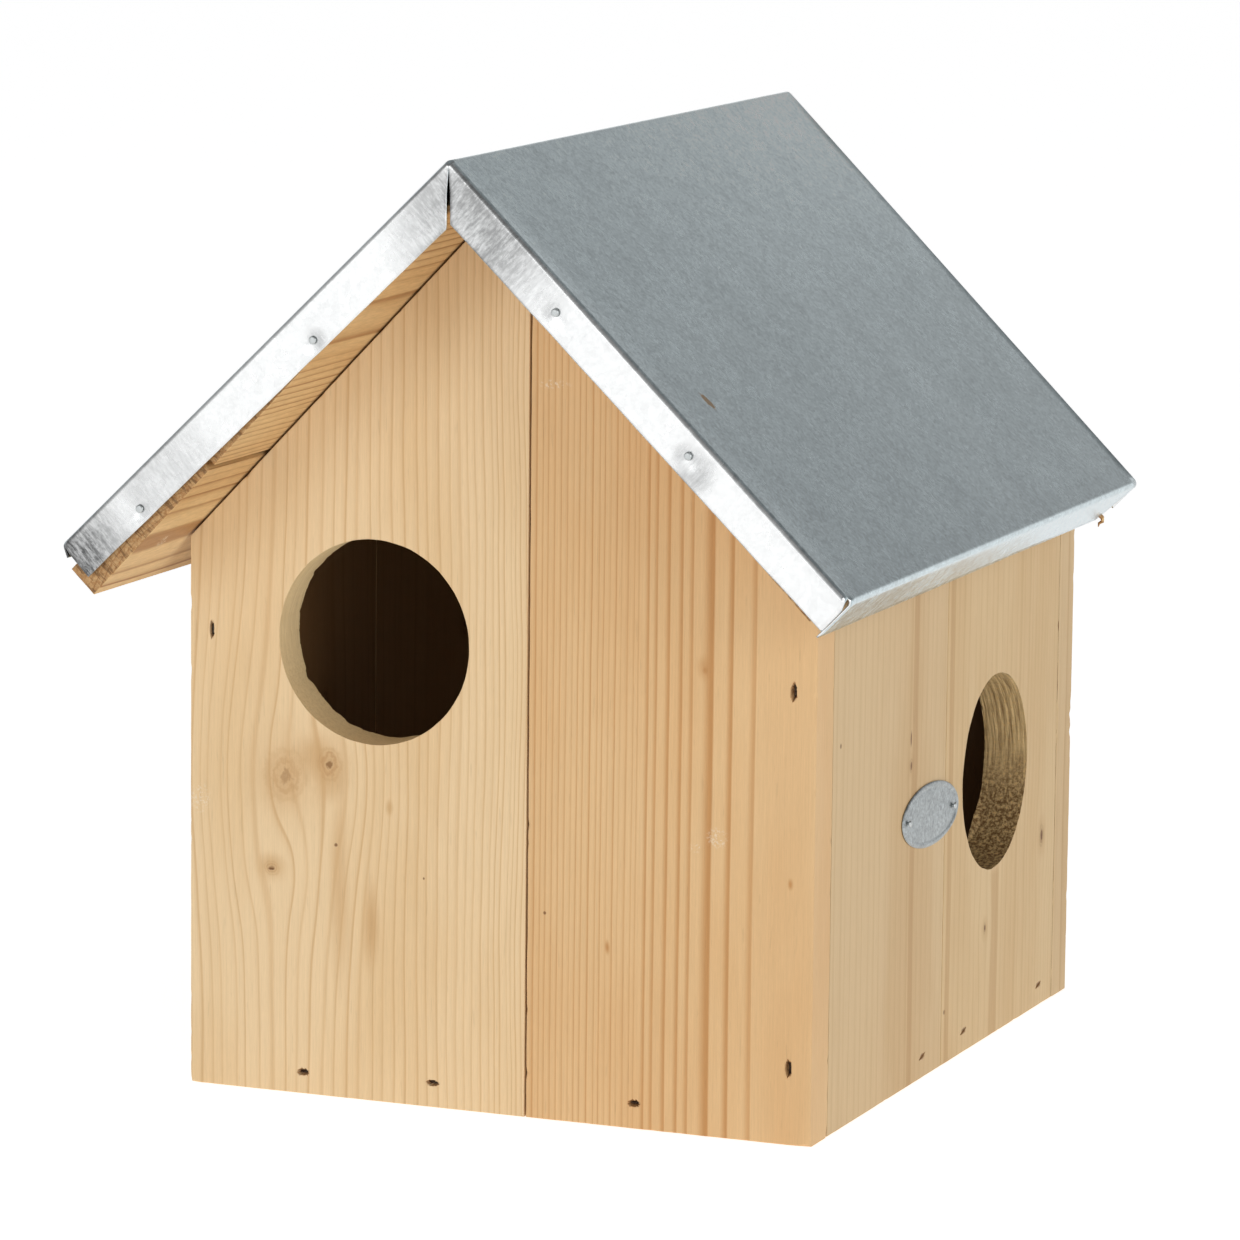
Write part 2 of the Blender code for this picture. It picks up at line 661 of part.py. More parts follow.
def tag():
    """A blank oval tag held to the right wall by two small nails."""
    y, z = TAG_CENTRE
    outline = []
    for step in range(TAG_SEGMENTS):
        angle = 2 * math.pi * step / TAG_SEGMENTS
        flat = Vector((0.0, TAG_HALF[0] * math.cos(angle), TAG_HALF[1] * math.sin(angle)))
        turned_point = Matrix.Rotation(TAG_TILT, 3, "X") @ flat
        outline.append(turned_point + Vector((HALF_WIDTH + FIT_GAP, y, z)))
    plate = prism("tag_plate", outline, Vector((TAG_THICKNESS, 0.0, 0.0)), tag_metal())
    reach = TAG_HALF[0] - 6.5 * MM
    for name, side in (("front", -1), ("rear", 1)):
        across = Matrix.Rotation(TAG_TILT, 3, "X") @ Vector((0.0, side * reach, 0.0))
        seat = Vector((HALF_WIDTH + FIT_GAP + TAG_THICKNESS, y, z)) + across
        board = "right_wall_front_board" if seat.y < RIGHT_SEAM_Y else "right_wall_rear_board"
        nail("tag_nail_" + name, seat, FROM_RIGHT, TAG_NAIL, [plate.name, board])


def main():
    """Build the whole nest box."""
    clear_scene()
    walls()
    floor()
    wall_staples()
    roof_boards()
    roof_staples()
    roof_sheet()
    flange_nails()
    door()
    pivot_nails()
    turn_hook()
    tag()
    cut_pockets()
    hang_door()


main()
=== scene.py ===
"""Looks for the gabled nest box: softwood boards, a folded galvanised roof, a blank tag and a side door."""

import math

import bmesh
import bpy
from mathutils import Matrix, Vector, noise
from mathutils.geometry import tessellate_polygon


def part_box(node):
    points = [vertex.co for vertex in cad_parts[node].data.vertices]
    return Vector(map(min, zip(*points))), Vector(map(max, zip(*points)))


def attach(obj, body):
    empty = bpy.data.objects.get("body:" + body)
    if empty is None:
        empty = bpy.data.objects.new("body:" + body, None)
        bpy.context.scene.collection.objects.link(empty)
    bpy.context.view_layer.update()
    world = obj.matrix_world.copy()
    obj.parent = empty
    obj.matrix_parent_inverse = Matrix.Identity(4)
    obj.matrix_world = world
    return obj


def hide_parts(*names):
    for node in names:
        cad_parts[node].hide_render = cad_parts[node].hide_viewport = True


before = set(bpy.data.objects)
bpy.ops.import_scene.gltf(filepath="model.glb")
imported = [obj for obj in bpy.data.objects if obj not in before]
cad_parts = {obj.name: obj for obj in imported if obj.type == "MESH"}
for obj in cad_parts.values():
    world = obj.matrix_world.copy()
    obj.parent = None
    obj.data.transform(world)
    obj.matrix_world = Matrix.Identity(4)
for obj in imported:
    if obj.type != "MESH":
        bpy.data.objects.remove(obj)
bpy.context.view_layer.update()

# Lengths named here are in millimetres, and MM turns them into scene units
MM = 0.001
PITCH = math.radians(44.0)
SIN = math.sin(PITCH)
COS = math.cos(PITCH)
SLOPE_LENGTH = 224.0
RIDGE_HEIGHT = 373.69
SOFFIT_PITCH = {-1: math.radians(46.2), 1: math.radians(45.0)}
SOFFIT_APEX = 353.96
SOFFIT_GAP = 0.9
ROOF_BOARD = 13.3


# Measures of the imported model

def corners(node):
    """Lowest and highest corner of a CAD node, in millimetres."""
    low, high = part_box(node)
    return low / MM, high / MM


GABLE_LOW, GABLE_HIGH = corners("front_board_left")
HALF_WIDTH = -GABLE_LOW.x
FRONT_Y = GABLE_LOW.y
BACK_Y = corners("back_board_left")[1].y
BOARD = GABLE_HIGH.y - GABLE_LOW.y
ROOF_FRONT_Y = corners("roof_sheet")[0].y
FRONT_HOLE = (-52.0, 180.7, 40.0)
SIDE_HOLE = (56.0, 109.6, 40.0)
RIDGE_BACK_Y = 152.5
EAVE_BACK_Y = 143.0


def slope_point(side, along, below):
    """X and Z of a point on one slope, from the sharp ridge of the sheet's outer face."""
    return side * (along * COS - below * SIN), RIDGE_HEIGHT - along * SIN - below * COS


def board_point(side, along, above):
    """X and Z of a point in a roof board, from the soffit's apex and up from the soffit."""
    pitch = SOFFIT_PITCH[side]
    x = side * (along * math.cos(pitch) + above * math.sin(pitch))
    return x, SOFFIT_APEX - along * math.sin(pitch) + above * math.cos(pitch)


def soffit_height(x, gap=SOFFIT_GAP):
    """Height of the roof's underside at x, less a gap square to it."""
    pitch = SOFFIT_PITCH[-1 if x < 0.0 else 1]
    return SOFFIT_APEX - abs(x) * math.tan(pitch) - gap / math.cos(pitch)


def roof_back(along):
    """Y of the sheet's rear edge."""
    return RIDGE_BACK_Y + (EAVE_BACK_Y - RIDGE_BACK_Y) * min(along, SLOPE_LENGTH) / SLOPE_LENGTH


def wobble(a, b, c, size=1.0):
    """Smooth noise, about -1 to 1, that changes over the given size."""
    return noise.noise(Vector((a / size, b / size, c)))


# Node graphs

def to_linear(value):
    """One sRGB channel, 0 to 255, as a linear value."""
    share = value / 255.0
    return share / 12.92 if share <= 0.04045 else ((share + 0.055) / 1.055) ** 2.4


def srgb(red, green, blue):
    """A linear colour from sRGB channels."""
    return (to_linear(red), to_linear(green), to_linear(blue), 1.0)


def set_ramp(node, stops, tint=(1.0, 1.0, 1.0)):
    """Give a colour ramp its stops, from (position, brightness) pairs."""
    elements = node.color_ramp.elements
    while len(elements) < len(stops):
        elements.new(0.5)
    for element, (position, level) in zip(elements, stops):
        element.position = position
        element.color = [level * share for share in tint] + [1.0]


class Value:
    """A node's output. Sums, differences and products of values add math nodes."""

    def __init__(self, graph, socket):
        self.graph = graph
        self.socket = socket

    def __add__(self, other):
        return self.graph.math("ADD", self, other)

    def __sub__(self, other):
        return self.graph.math("SUBTRACT", self, other)

    def __rsub__(self, other):
        return self.graph.math("SUBTRACT", other, self)

    def __mul__(self, other):
        return self.graph.math("MULTIPLY", self, other)

    def __truediv__(self, number):
        return self * (1.0 / number)

    def __abs__(self):
        return self.graph.math("ABSOLUTE", self)

    __radd__ = __add__
    __rmul__ = __mul__


class Graph:
    """A material's node tree, with one short method for each kind of node used here."""

    def __init__(self, name):
        self.material = bpy.data.materials.new(name)
        self.material.use_nodes = True
        self.tree = self.material.node_tree
        self.shader = self.tree.nodes["Principled BSDF"]
        coords = self.tree.nodes.new("ShaderNodeTexCoord")
        self.place = Value(self, coords.outputs["Object"])
        self.normal = Value(self, coords.outputs["Normal"])

    def node(self, kind, values=()):
        """A new node, its first inputs set to values or linked to them."""
        node = self.tree.nodes.new("ShaderNode" + kind)
        for socket, value in zip(node.inputs, values):
            self.feed(socket, value)
        return node

    def feed(self, socket, value):
        if isinstance(value, Value):
            self.tree.links.new(value.socket, socket)
        elif value is not None:
            socket.default_value = value

    def set(self, socket, value):
        self.feed(self.shader.inputs[socket], value)

    def math(self, operation, first, second=None):
        node = self.node("Math", (first, second))
        node.operation = operation
        return Value(self, node.outputs[0])

    def largest(self, first, *others):
        for value in others:
            first = self.math("MAXIMUM", first, value)
        return first

    def length(self, first, second):
        return self.math("SQRT", first * first + second * second)

    def step(self, value, low, high, start=0.0, end=1.0):
        """Smooth step of value from start at low to end at high."""
        node = self.node("MapRange", (value, low, high, start, end))
        node.interpolation_type = "SMOOTHSTEP"
        return Value(self, node.outputs[0])

    def spread(self, value, low, high, start, end):
        """Straight map of value from low..high to start..end, held at the ends."""
        return Value(self, self.node("MapRange", (value, low, high, start, end)).outputs[0])

    def dot(self, vector, direction):
        node = self.node("VectorMath", (vector, direction))
        node.operation = "DOT_PRODUCT"
        return Value(self, node.outputs["Value"])

    def vector(self, x, y, z):
        return Value(self, self.node("CombineXYZ", (x, y, z)).outputs[0])

    def millimetres(self):
        """X, Y and Z of the surface, in millimetres."""
        return [self.dot(self.place, axis) for axis in ((1000, 0, 0), (0, 1000, 0), (0, 0, 1000))]

    def noise(self, place, detail, rough=0.5, scale=1.0):
        """Noise at a place, which is a vector or its three parts."""
        node = self.node("TexNoise")
        self.feed(node.inputs["Vector"], place if isinstance(place, Value) else self.vector(*place))
        node.inputs["Scale"].default_value = scale
        node.inputs["Detail"].default_value = detail
        node.inputs["Roughness"].default_value = rough
        return Value(self, node.outputs["Fac"])

    def cells(self, place, scale):
        """A random value for each cell of a Voronoi pattern."""
        node = self.node("TexVoronoi")
        self.feed(node.inputs["Vector"], place)
        node.inputs["Scale"].default_value = scale
        return self.random(Value(self, node.outputs["Color"]))

    def random(self, value):
        node = self.node("TexWhiteNoise")
        node.noise_dimensions = "1D"
        self.feed(node.inputs["W"], value)
        return Value(self, node.outputs["Value"])

    def ramp(self, value, stops):
        node = self.node("ValToRGB", (value,))
        set_ramp(node, stops)
        return Value(self, node.outputs[0])

    def mix(self, share, first, second, blend="MIX"):
        node = self.node("Mix")
        node.data_type = "RGBA"
        node.blend_type = blend
        for index, value in ((0, share), (6, first), (7, second)):
            self.feed(node.inputs[index], value)
        return Value(self, node.outputs[2])

    def bump(self, height, distance, strength):
        node = self.node("Bump")
        node.inputs["Strength"].default_value = strength
        node.inputs["Distance"].default_value = distance * MM
        self.feed(node.inputs["Height"], height)
        self.tree.links.new(node.outputs[0], self.shader.inputs["Normal"])


# Wood

def slope_axes(side):
    """Down the soffit, square to it, and along the ridge."""
    sin = math.sin(SOFFIT_PITCH[side])
    cos = math.cos(SOFFIT_PITCH[side])
    return (side * cos, 0, -sin), (side * sin, 0, cos), (0, 1, 0)


# Across, into and along the boards of each place
FACING = {
    "front": ((1, 0, 0), (0, 1, 0), (0, 0, 1)),
    "back": ((1, 0, 0), (0, -1, 0), (0, 0, 1)),
    "right": ((0, 1, 0), (-1, 0, 0), (0, 0, 1)),
    "left": ((0, 1, 0), (1, 0, 0), (0, 0, 1)),
    "floor": ((0, 1, 0), (0, 0, -1), (1, 0, 0)),
    "batten": ((0, 0, 1), (1, 0, 0), (0, 1, 0)),
    "left_slope": slope_axes(-1),
    "right_slope": slope_axes(1),
}
# Brightness across one growth ring: pale early wood that darkens slowly, then a sharp edge
RING = ((0.0, 0.22), (0.07, 0.0), (0.52, 0.04), (0.76, 0.34), (0.90, 1.0), (0.96, 0.85), (1.0, 0.22))
BRIGHTEST = 0.92
WOOD_RELIEF = 0.16
KNOT_STRETCH = 1.7


def ellipse(graph, across, along, place):
    """Distance from a mark's centre, 1.0 on its outline.

    place starts with (across, along, half width, half length).
    """
    return graph.length((across - place[0]) / place[2], (along - place[1]) / place[3])


def scaled(tones, gain):
    """The same colours, brighter or darker in each channel."""
    return [tuple(min(BRIGHTEST, value * share) for value, share in zip(tone, gain)) + (1.0,)
            for tone in tones]


def late_wood(graph, phase, faintest):
    """Late wood of rings numbered by phase, each with its own strength."""
    strength = graph.spread(graph.random(graph.math("FLOOR", phase)), 0.0, 1.0, faintest, 1.0)
    return graph.ramp(graph.math("FRACT", phase), RING) * strength


def straight_rings(graph, moved, depth, rule, seed):
    """Growth rings cut nearly square: rule is (rings per mm, start, growth, end, tilt, amount).

    depth is measured from the board's face.
    """
    base, start, growth, end, tilt, amount = rule
    flat = depth * tilt + moved
    past = graph.largest(flat - start, 0.0)
    phase = past * past * past * (growth / 3.0) + flat * base
    phase = graph.noise((flat * 0.16, seed, 0.0), 1.0) * 1.3 + phase
    return late_wood(graph, phase, 0.5) * amount * graph.step(flat, end, end - 2.0)


def curved_rings(graph, moved, depth, pith, rate, seed):
    """Growth rings as shells round a pith line."""
    radius = graph.length(moved - pith[0], depth - pith[1])
    uneven = graph.noise((radius * 0.045, seed, 0.0), 2.0)
    return late_wood(graph, radius * (radius * rate[1] + rate[0]) + uneven * 2.4 + seed, 0.25)


def wood(name, facing, tones, rings, seed, line=1.0, wave=(2.5, 0.5), knots=(), spots=(), bands=(), lines=(),
         stains=(), hole=None, scuffs=(), rough_sawn=0.0, inner=0.55, face=0.0):
    """Bare softwood, all in millimetres across, into and along the board.

    tones are early wood, warm patches, late wood and knot. rings is a rule for straight_rings, or a
    pith and a rate for curved_rings. knots are (across, along, half width, half length, strength,
    push, reach), spots (across, along, half width, half length), stains the same with a strength,
    bands (across, half width, top) and lines (across, half width, strength). hole is its place and
    radius, three colours of its cut wall, how dark its foot is and its relief. inner is the
    brightness of painted shade on the inner face, and face the depth of the outer one.
    """
    graph = Graph(name)
    axes = [Vector(axis) for axis in FACING[facing]]
    across, depth, along = [graph.dot(graph.place, axis * (1.0 / MM)) for axis in axes]
    end_face = graph.step(abs(graph.dot(graph.normal, axes[2])), 0.6, 0.8)

    def grain(x, y, z, detail, rough=0.5, shift=0.0):
        """Noise with its own rate across, into and along the board."""
        return graph.noise((across * x, depth * y, along * z + shift), detail, rough)

    def swing(value, size):
        """Noise of 0 to 1 as an offset to either side."""
        return value * (size * 4) - size * 2

    # Slow wander of the grain, and its way round the knots
    drift = grain(0.014, 0.014, 0.0042, 1.0, shift=seed)
    ripple = grain(0.06, 0.06, 0.016, 1.5, shift=seed + 7.3)
    moved = across + swing(drift, wave[0]) + swing(ripple, wave[1])
    for knot in knots:
        away = ellipse(graph, across, along, (knot[0], knot[1], knot[6], knot[6] * KNOT_STRETCH))
        moved = (knot[0] - across) * graph.math("EXPONENT", away * away * -1.0) * knot[5] + moved
    sunk = depth - face
    if len(rings) == 2:
        late = curved_rings(graph, moved, depth, rings[0], rings[1], seed)
    else:
        late = straight_rings(graph, moved, sunk, rings, seed)
    for middle, half, strength in lines:
        away = sunk * rings[4] + moved - middle
        edge = graph.step(away, half * 1.25, half * 0.55) * graph.step(away, -half * 3.2, half * 0.2)
        late = graph.largest(late, edge * strength)

    # Fibres and patches
    fibre = grain(1.6, 1.6, 0.035, 3.0, 0.65)
    pores = grain(5.0, 5.0, 0.22, 1.0)
    patch = grain(0.022, 0.02, 0.006, 3.0, 0.55, seed * 2)
    early, warm, dark, knot_tone = tones
    colour = graph.mix(graph.step(patch, 0.40, 0.68), early, warm)
    for stain in stains:
        soft = graph.step(ellipse(graph, ripple * 6.0 + (across - 3.0), along, stain), 1.3, 0.1)
        colour = graph.mix(soft * stain[4], colour, dark)
    colour = graph.mix(late * line, colour, dark)
    fleck = graph.step(grain(1.1, 1.1, 0.07, 2.0, shift=seed), 0.665, 0.74)
    grey = graph.spread(fibre, 0.25, 0.75, 0.94, 1.045) * graph.spread(pores, 0.3, 0.75, 1.02, 0.96)
    grey = grey - fleck * 0.08

    # Knots, spots, bands and scuffs
    height = late * 0.35 + fibre * 0.6
    uneven = swing(grain(0.35, 0.35, 0.3, 3.0, 0.6), 0.225)
    for knot in knots:
        away = ellipse(graph, across, along, knot) + uneven
        core = graph.step(away, 1.25, 0.55)
        shade = graph.math("SINE", away * 15.0) * 0.30 + 0.50
        colour = graph.mix(core * shade * knot[4], colour, knot_tone)
        colour = graph.mix(graph.step(away, 2.7, 0.9) * (0.32 * knot[4]), colour, dark)
        eye = graph.step(away, 0.36, 0.10) * knot[4] ** 2
        colour = graph.mix(eye * 0.9, colour, srgb(122, 84, 46))
    if spots:
        marks = [graph.step(ellipse(graph, across, along, spot) + uneven, 1.25, 0.5) for spot in spots]
        mark = graph.largest(*marks)
        colour = graph.mix(mark * 0.8, colour, srgb(104, 64, 28))
        height = height - mark * 0.8
    for middle, half, top in bands:
        mark = graph.step(abs(moved - middle), half, half * 0.75) * graph.step(along, top + 6.0, top)
        colour = graph.mix(mark * 0.55, colour, dark)
    for scuff in scuffs:
        torn = graph.noise((across, depth, along), 3.0, 0.7, scale=0.9)
        mark = graph.step(ellipse(graph, across, along, scuff), 1.1, 0.4) * graph.step(torn, 0.5, 0.6)
        colour = graph.mix(mark * 0.5, colour, srgb(236, 222, 198))
        height = height - mark * 0.5

    # Ends of the boards, and the saw's marks
    saw = grain(0.9, 0.9, 0.9, 4.0, 0.7)
    end_tone = graph.mix(graph.step(saw, 0.35, 0.65), dark, early)
    end_tone = graph.mix(0.45, end_tone, srgb(168, 112, 58))
    end_tone = graph.mix(late * 0.45, end_tone, srgb(124, 76, 34))
    colour = graph.mix(end_face * 0.85, colour, end_tone)
    height = height + saw * (end_face * 1.6 + (0.15 + rough_sawn * 0.4))
    if rough_sawn:
        ticks = graph.step(graph.noise((across * 0.55, depth * 0.07, seed), 3.0, 0.75), 0.50, 0.60)
        colour = graph.mix(ticks * end_face * 0.62, colour, srgb(92, 62, 32))
        height = grain(0.25, 1.0, 0.9, 2.0) * rough_sawn + height
        fuzz = grain(0.8, 0.8, 0.12, 4.0, 0.7)
        grey = grey * graph.spread(fuzz, 0.3, 0.7, 1.0 - 0.16 * rough_sawn, 1.0 + 0.08 * rough_sawn)
    # Painted shade: faces turned into the box are darkened and browned, standing in for the dark inside
    if inner < 1.0:
        hidden = graph.step(graph.dot(graph.normal, axes[1]), 0.7, 0.95)
        shaded_inside = graph.mix(1.0, colour, (inner * 0.60, inner * 0.43, inner * 0.29, 1.0), "MULTIPLY")
        colour = graph.mix(hidden, colour, shaded_inside)
    if hole:
        hole_across, hole_along, radius, light, medium, deep, low_share, relief = hole
        aside = across - hole_across
        above = along - hole_along
        wall = graph.step(graph.length(aside, above), radius + 0.75, radius + 0.35)
        wall = wall * graph.step(abs(graph.dot(graph.normal, axes[1])), 0.8, 0.6)
        turn = graph.math("ARCTAN2", above, aside)
        streak = graph.noise((turn * 2.6, depth * 0.75, 3.0), 3.0, 0.6)
        grit = graph.noise((turn * 24.0, depth * 0.6, 9.0), 4.0, 0.75)
        low = graph.step(above, 6.0, -22.0)
        rough = graph.mix(low, streak, grit)
        sawn = graph.mix(graph.spread(rough, 0.22, 0.74, 0.0, 1.0), deep, light)
        sawn = graph.mix(graph.step(grit, 0.5, 0.72), sawn, medium)
        sawn = graph.mix(low * low_share * graph.step(grit, 0.62, 0.40), sawn, deep)
        colour = graph.mix(wall, colour, sawn)
        height = height + wall * (rough * relief)
    graph.set("Base Color", graph.mix(1.0, colour, grey, "MULTIPLY"))
    graph.set("Roughness", graph.spread(fibre, 0.2, 0.8, 0.68, 0.54))
    graph.set("Specular IOR Level", 0.3)
    graph.bump(height, WOOD_RELIEF, 0.55)
    return graph.material


# Metal

ZINC_RELIEF = 0.03
STEEL_RELIEF = 0.04


def galvanised(name, tone, mottle, roughness, lit_flange_tone=None, painted_dark_places=(), specks=()):
    """Zinc-coated sheet: fine crystals, soft clouds and dull patches.

    lit_flange_tone is the colour of the upright flanges, where it differs: a painted lit copy of the
    sheet, brighter and less blue than the slopes. painted_dark_places is a list of (x, z, reach,
    strength) for parts of the flanges made rougher and painted darker, as painted dark reflections,
    and specks of (x, y, half width, half length) for wood dust pressed on the slopes, in millimetres.
    """
    graph = Graph(name)
    x, y, z = graph.millimetres()
    mm = graph.vector(x, y, z)
    grain = graph.noise(mm, 3.0, 0.7, scale=0.75)
    cloud = graph.noise(mm, 3.0, 0.6, scale=0.05)
    crystals = graph.cells(mm, 0.42)
    fine = graph.cells(mm, 1.0)
    shade = graph.spread(cloud, 0.3, 0.7, 0.95, 1.05)
    textures = ((grain, 0.3, 0.7, 1.0), (crystals, 0.0, 1.0, 0.5), (fine, 0.0, 1.0, 0.35))
    for value, low, high, share in textures:
        shade = shade * graph.spread(value, low, high, 1.0 - mottle * share, 1.0 + mottle * share)
    shade = shade - graph.step(graph.noise(mm, 2.0, 0.6, scale=0.9), 0.69, 0.75) * 0.20
    rough = graph.spread(crystals, 0.0, 1.0, -0.03, 0.03) + graph.spread(cloud, 0.3, 0.7, -0.02, 0.04)
    if painted_dark_places:
        across = abs(x)
        down = across * COS - (z - RIDGE_HEIGHT) * SIN
        below = (RIDGE_HEIGHT - z) * COS - across * SIN
        brushed = graph.noise((down * 0.75, y * 0.3, below * 0.16), 3.0, 0.7)
        patches = graph.noise((down * 0.10, 0.0, below * 0.10), 2.0, 0.6)
        texture = brushed * 0.5 + (grain * 0.25 + patches * 0.25)
        upright = graph.step(abs(graph.dot(graph.normal, (0, 1, 0))), 0.5, 0.8)
        # Painted dark reflections on the flanges: a light mottle everywhere and patches near the listed
        # places, also made rougher
        rough_and_shaded = graph.step(texture, 0.48, 0.64) * 0.06
        for middle, height, reach, strength in painted_dark_places:
            near = graph.step(graph.length(x - middle, z - height), reach, reach * 0.2) * strength
            rough_and_shaded = graph.largest(rough_and_shaded, near * graph.step(texture, 0.36, 0.60, 0.42, 0.95))
        rough_and_shaded = rough_and_shaded * upright
        # Painted light: the flanges' mottle is evened out towards bright, part of their lit copy
        shade = (1.02 - shade) * (upright * 0.6) + shade
        shade = shade * (1.0 - rough_and_shaded)
        rough = rough_and_shaded * 0.16 + rough
        # Painted reflection: the slopes lighter at the ridge and darker towards the eaves, lighter again at
        # the back of the ridge; none on the flanges
        worn = graph.spread(down, 0.0, SLOPE_LENGTH, 1.11, 0.78)
        painted_ridge_sheen = graph.spread(y, -90.0, 150.0, 0.0, 1.0) * graph.spread(down, 110.0, 10.0, 0.0, 0.22)
        shade = shade * graph.largest(worn + painted_ridge_sheen, upright)
        # Painted light: the flanges take a brighter, less blue tone than the slopes
        tone = graph.mix(upright, tone, lit_flange_tone)
    colour = graph.mix(1.0, tone, shade, "MULTIPLY")
    metal = 1.0
    for speck in specks:
        first = graph.dot(graph.place, (1000, 300, 0))
        second = graph.dot(graph.place, (-300, 1000, 0))
        away = ellipse(graph, first, second, speck) + (grain * 0.8 - 0.4)
        mark = graph.step(away, 1.15, 0.75)
        colour = graph.mix(mark, colour, srgb(138, 112, 78))
        metal = metal - mark
    graph.set("Base Color", colour)
    graph.set("Metallic", metal)
    graph.set("Roughness", rough + roughness)
    graph.bump(crystals * 0.4 + grain * 0.6, ZINC_RELIEF, 0.5)
    return graph.material


def worn_steel(name, tone, rust, roughness, rust_share):
    """Dull wire or nail steel with a little brown tarnish."""
    graph = Graph(name)
    mm = graph.vector(*graph.millimetres())
    cloud = graph.noise(mm, 4.0, 0.7, scale=0.9)
    fine = graph.noise(mm, 2.0, scale=4.0)
    tarnish = graph.step(cloud, 0.72 - rust_share * 0.4, 0.84 - rust_share * 0.4)
    graph.set("Base Color", graph.mix(tarnish, tone, rust))
    graph.set("Metallic", graph.spread(tarnish, 0.0, 1.0, 1.0, 0.25))
    graph.set("Roughness", graph.spread(tarnish, 0.0, 1.0, roughness, 0.75) + fine * 0.08)
    graph.bump(cloud * 0.6 + fine * 0.4, STEEL_RELIEF, 0.4)
    return graph.material


# Solids

SMOOTH_ANGLE = math.radians(40.0)
HOLE_POINTS = 300
GOUGE_POINTS = 26


def to_mesh(name, build):
    """The built shape as a mesh, its faces turned outward."""
    bmesh.ops.recalc_face_normals(build, faces=build.faces)
    mesh = bpy.data.meshes.new(name)
    build.to_mesh(mesh)
    build.free()
    return mesh


def finish(name, mesh, material, node, body, smooth=False):
    """Put a piece in the scene, on its body, in place of its CAD node."""
    obj = bpy.data.objects.new(name, mesh)
    bpy.context.scene.collection.objects.link(obj)
    mesh.materials.append(material)
    if smooth:
        mesh.shade_smooth()
        mesh.set_sharp_from_angle(angle=SMOOTH_ANGLE)
    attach(obj, body)
    if node:
        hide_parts(node)
    return obj


def join_rings(build, rings):
    """Faces from each ring of vertices to the next."""
    for near, far in zip(rings, rings[1:]):
        for index in range(len(near)):
            after = (index + 1) % len(near)
            build.faces.new((near[index], near[after], far[after], far[index]))


def dense(loop, step):
    """The loop's corners with points added between them, about step apart."""
    result = []
    for (a0, b0), (a1, b1) in zip(loop, loop[1:] + loop[:1]):
        count = max(1, round(math.hypot(a1 - a0, b1 - b0) / step))
        result += [(a0 + (a1 - a0) * i / count, b0 + (b1 - b0) * i / count) for i in range(count)]
    return result


def inward_normals(loop):
    """For each point, the mitred direction to the left of the loop's travel."""
    result = []
    count = len(loop)
    for index in range(count):
        here = Vector(loop[index])
        before = (here - Vector(loop[index - 1])).normalized()
        after = (Vector(loop[(index + 1) % count]) - here).normalized()
        first = Vector((-before.y, before.x))
        second = Vector((-after.y, after.x))
        result.append((first + second) / max(0.5, 1.0 + first.dot(second)))
    return result


def edge_wear(a, b, seed, wear, chips=()):
    """How far an edge is worn back at one point: a little everywhere, with a few chips."""
    base = wear * (0.75 + 0.5 * wobble(a, b, seed, 9.0))
    base += max(0.0, wobble(a, b, seed + 5.1, 4.0) - 0.42) * 6.0 * wear
    for at_a, at_b, reach, bite in chips:
        away = math.hypot(a - at_a, b - at_b) / reach
        base += bite * math.exp(-away ** 2) * (0.7 + 0.5 * wobble(a, b, seed + 2.0, 1.3))
    return base


def pit(build, loop, level, place, seed):
    """A sunk mark in a board's face: its rim's vertices, joined to an uneven bottom."""
    top = [build.verts.new(place(a, b, 0.0)) for a, b in loop]
    middle_a, middle_b = [sum(values) / len(loop) for values in zip(*loop)]
    low = []
    for index, (a, b) in enumerate(loop):
        share = 0.72 + 0.12 * wobble(a, b, seed + index, 1.5)
        depth = level * (0.8 + 0.3 * wobble(a, b, seed + 2.0, 1.0))
        low.append(build.verts.new(place(middle_a + (a - middle_a) * share,
                                         middle_b + (b - middle_b) * share, depth)))
    centre = build.verts.new(place(middle_a, middle_b, level))
    for index in range(len(loop)):
        after = (index + 1) % len(loop)
        build.faces.new((top[index], top[after], low[after], low[index]))
        build.faces.new((low[index], low[after], centre))
    return top


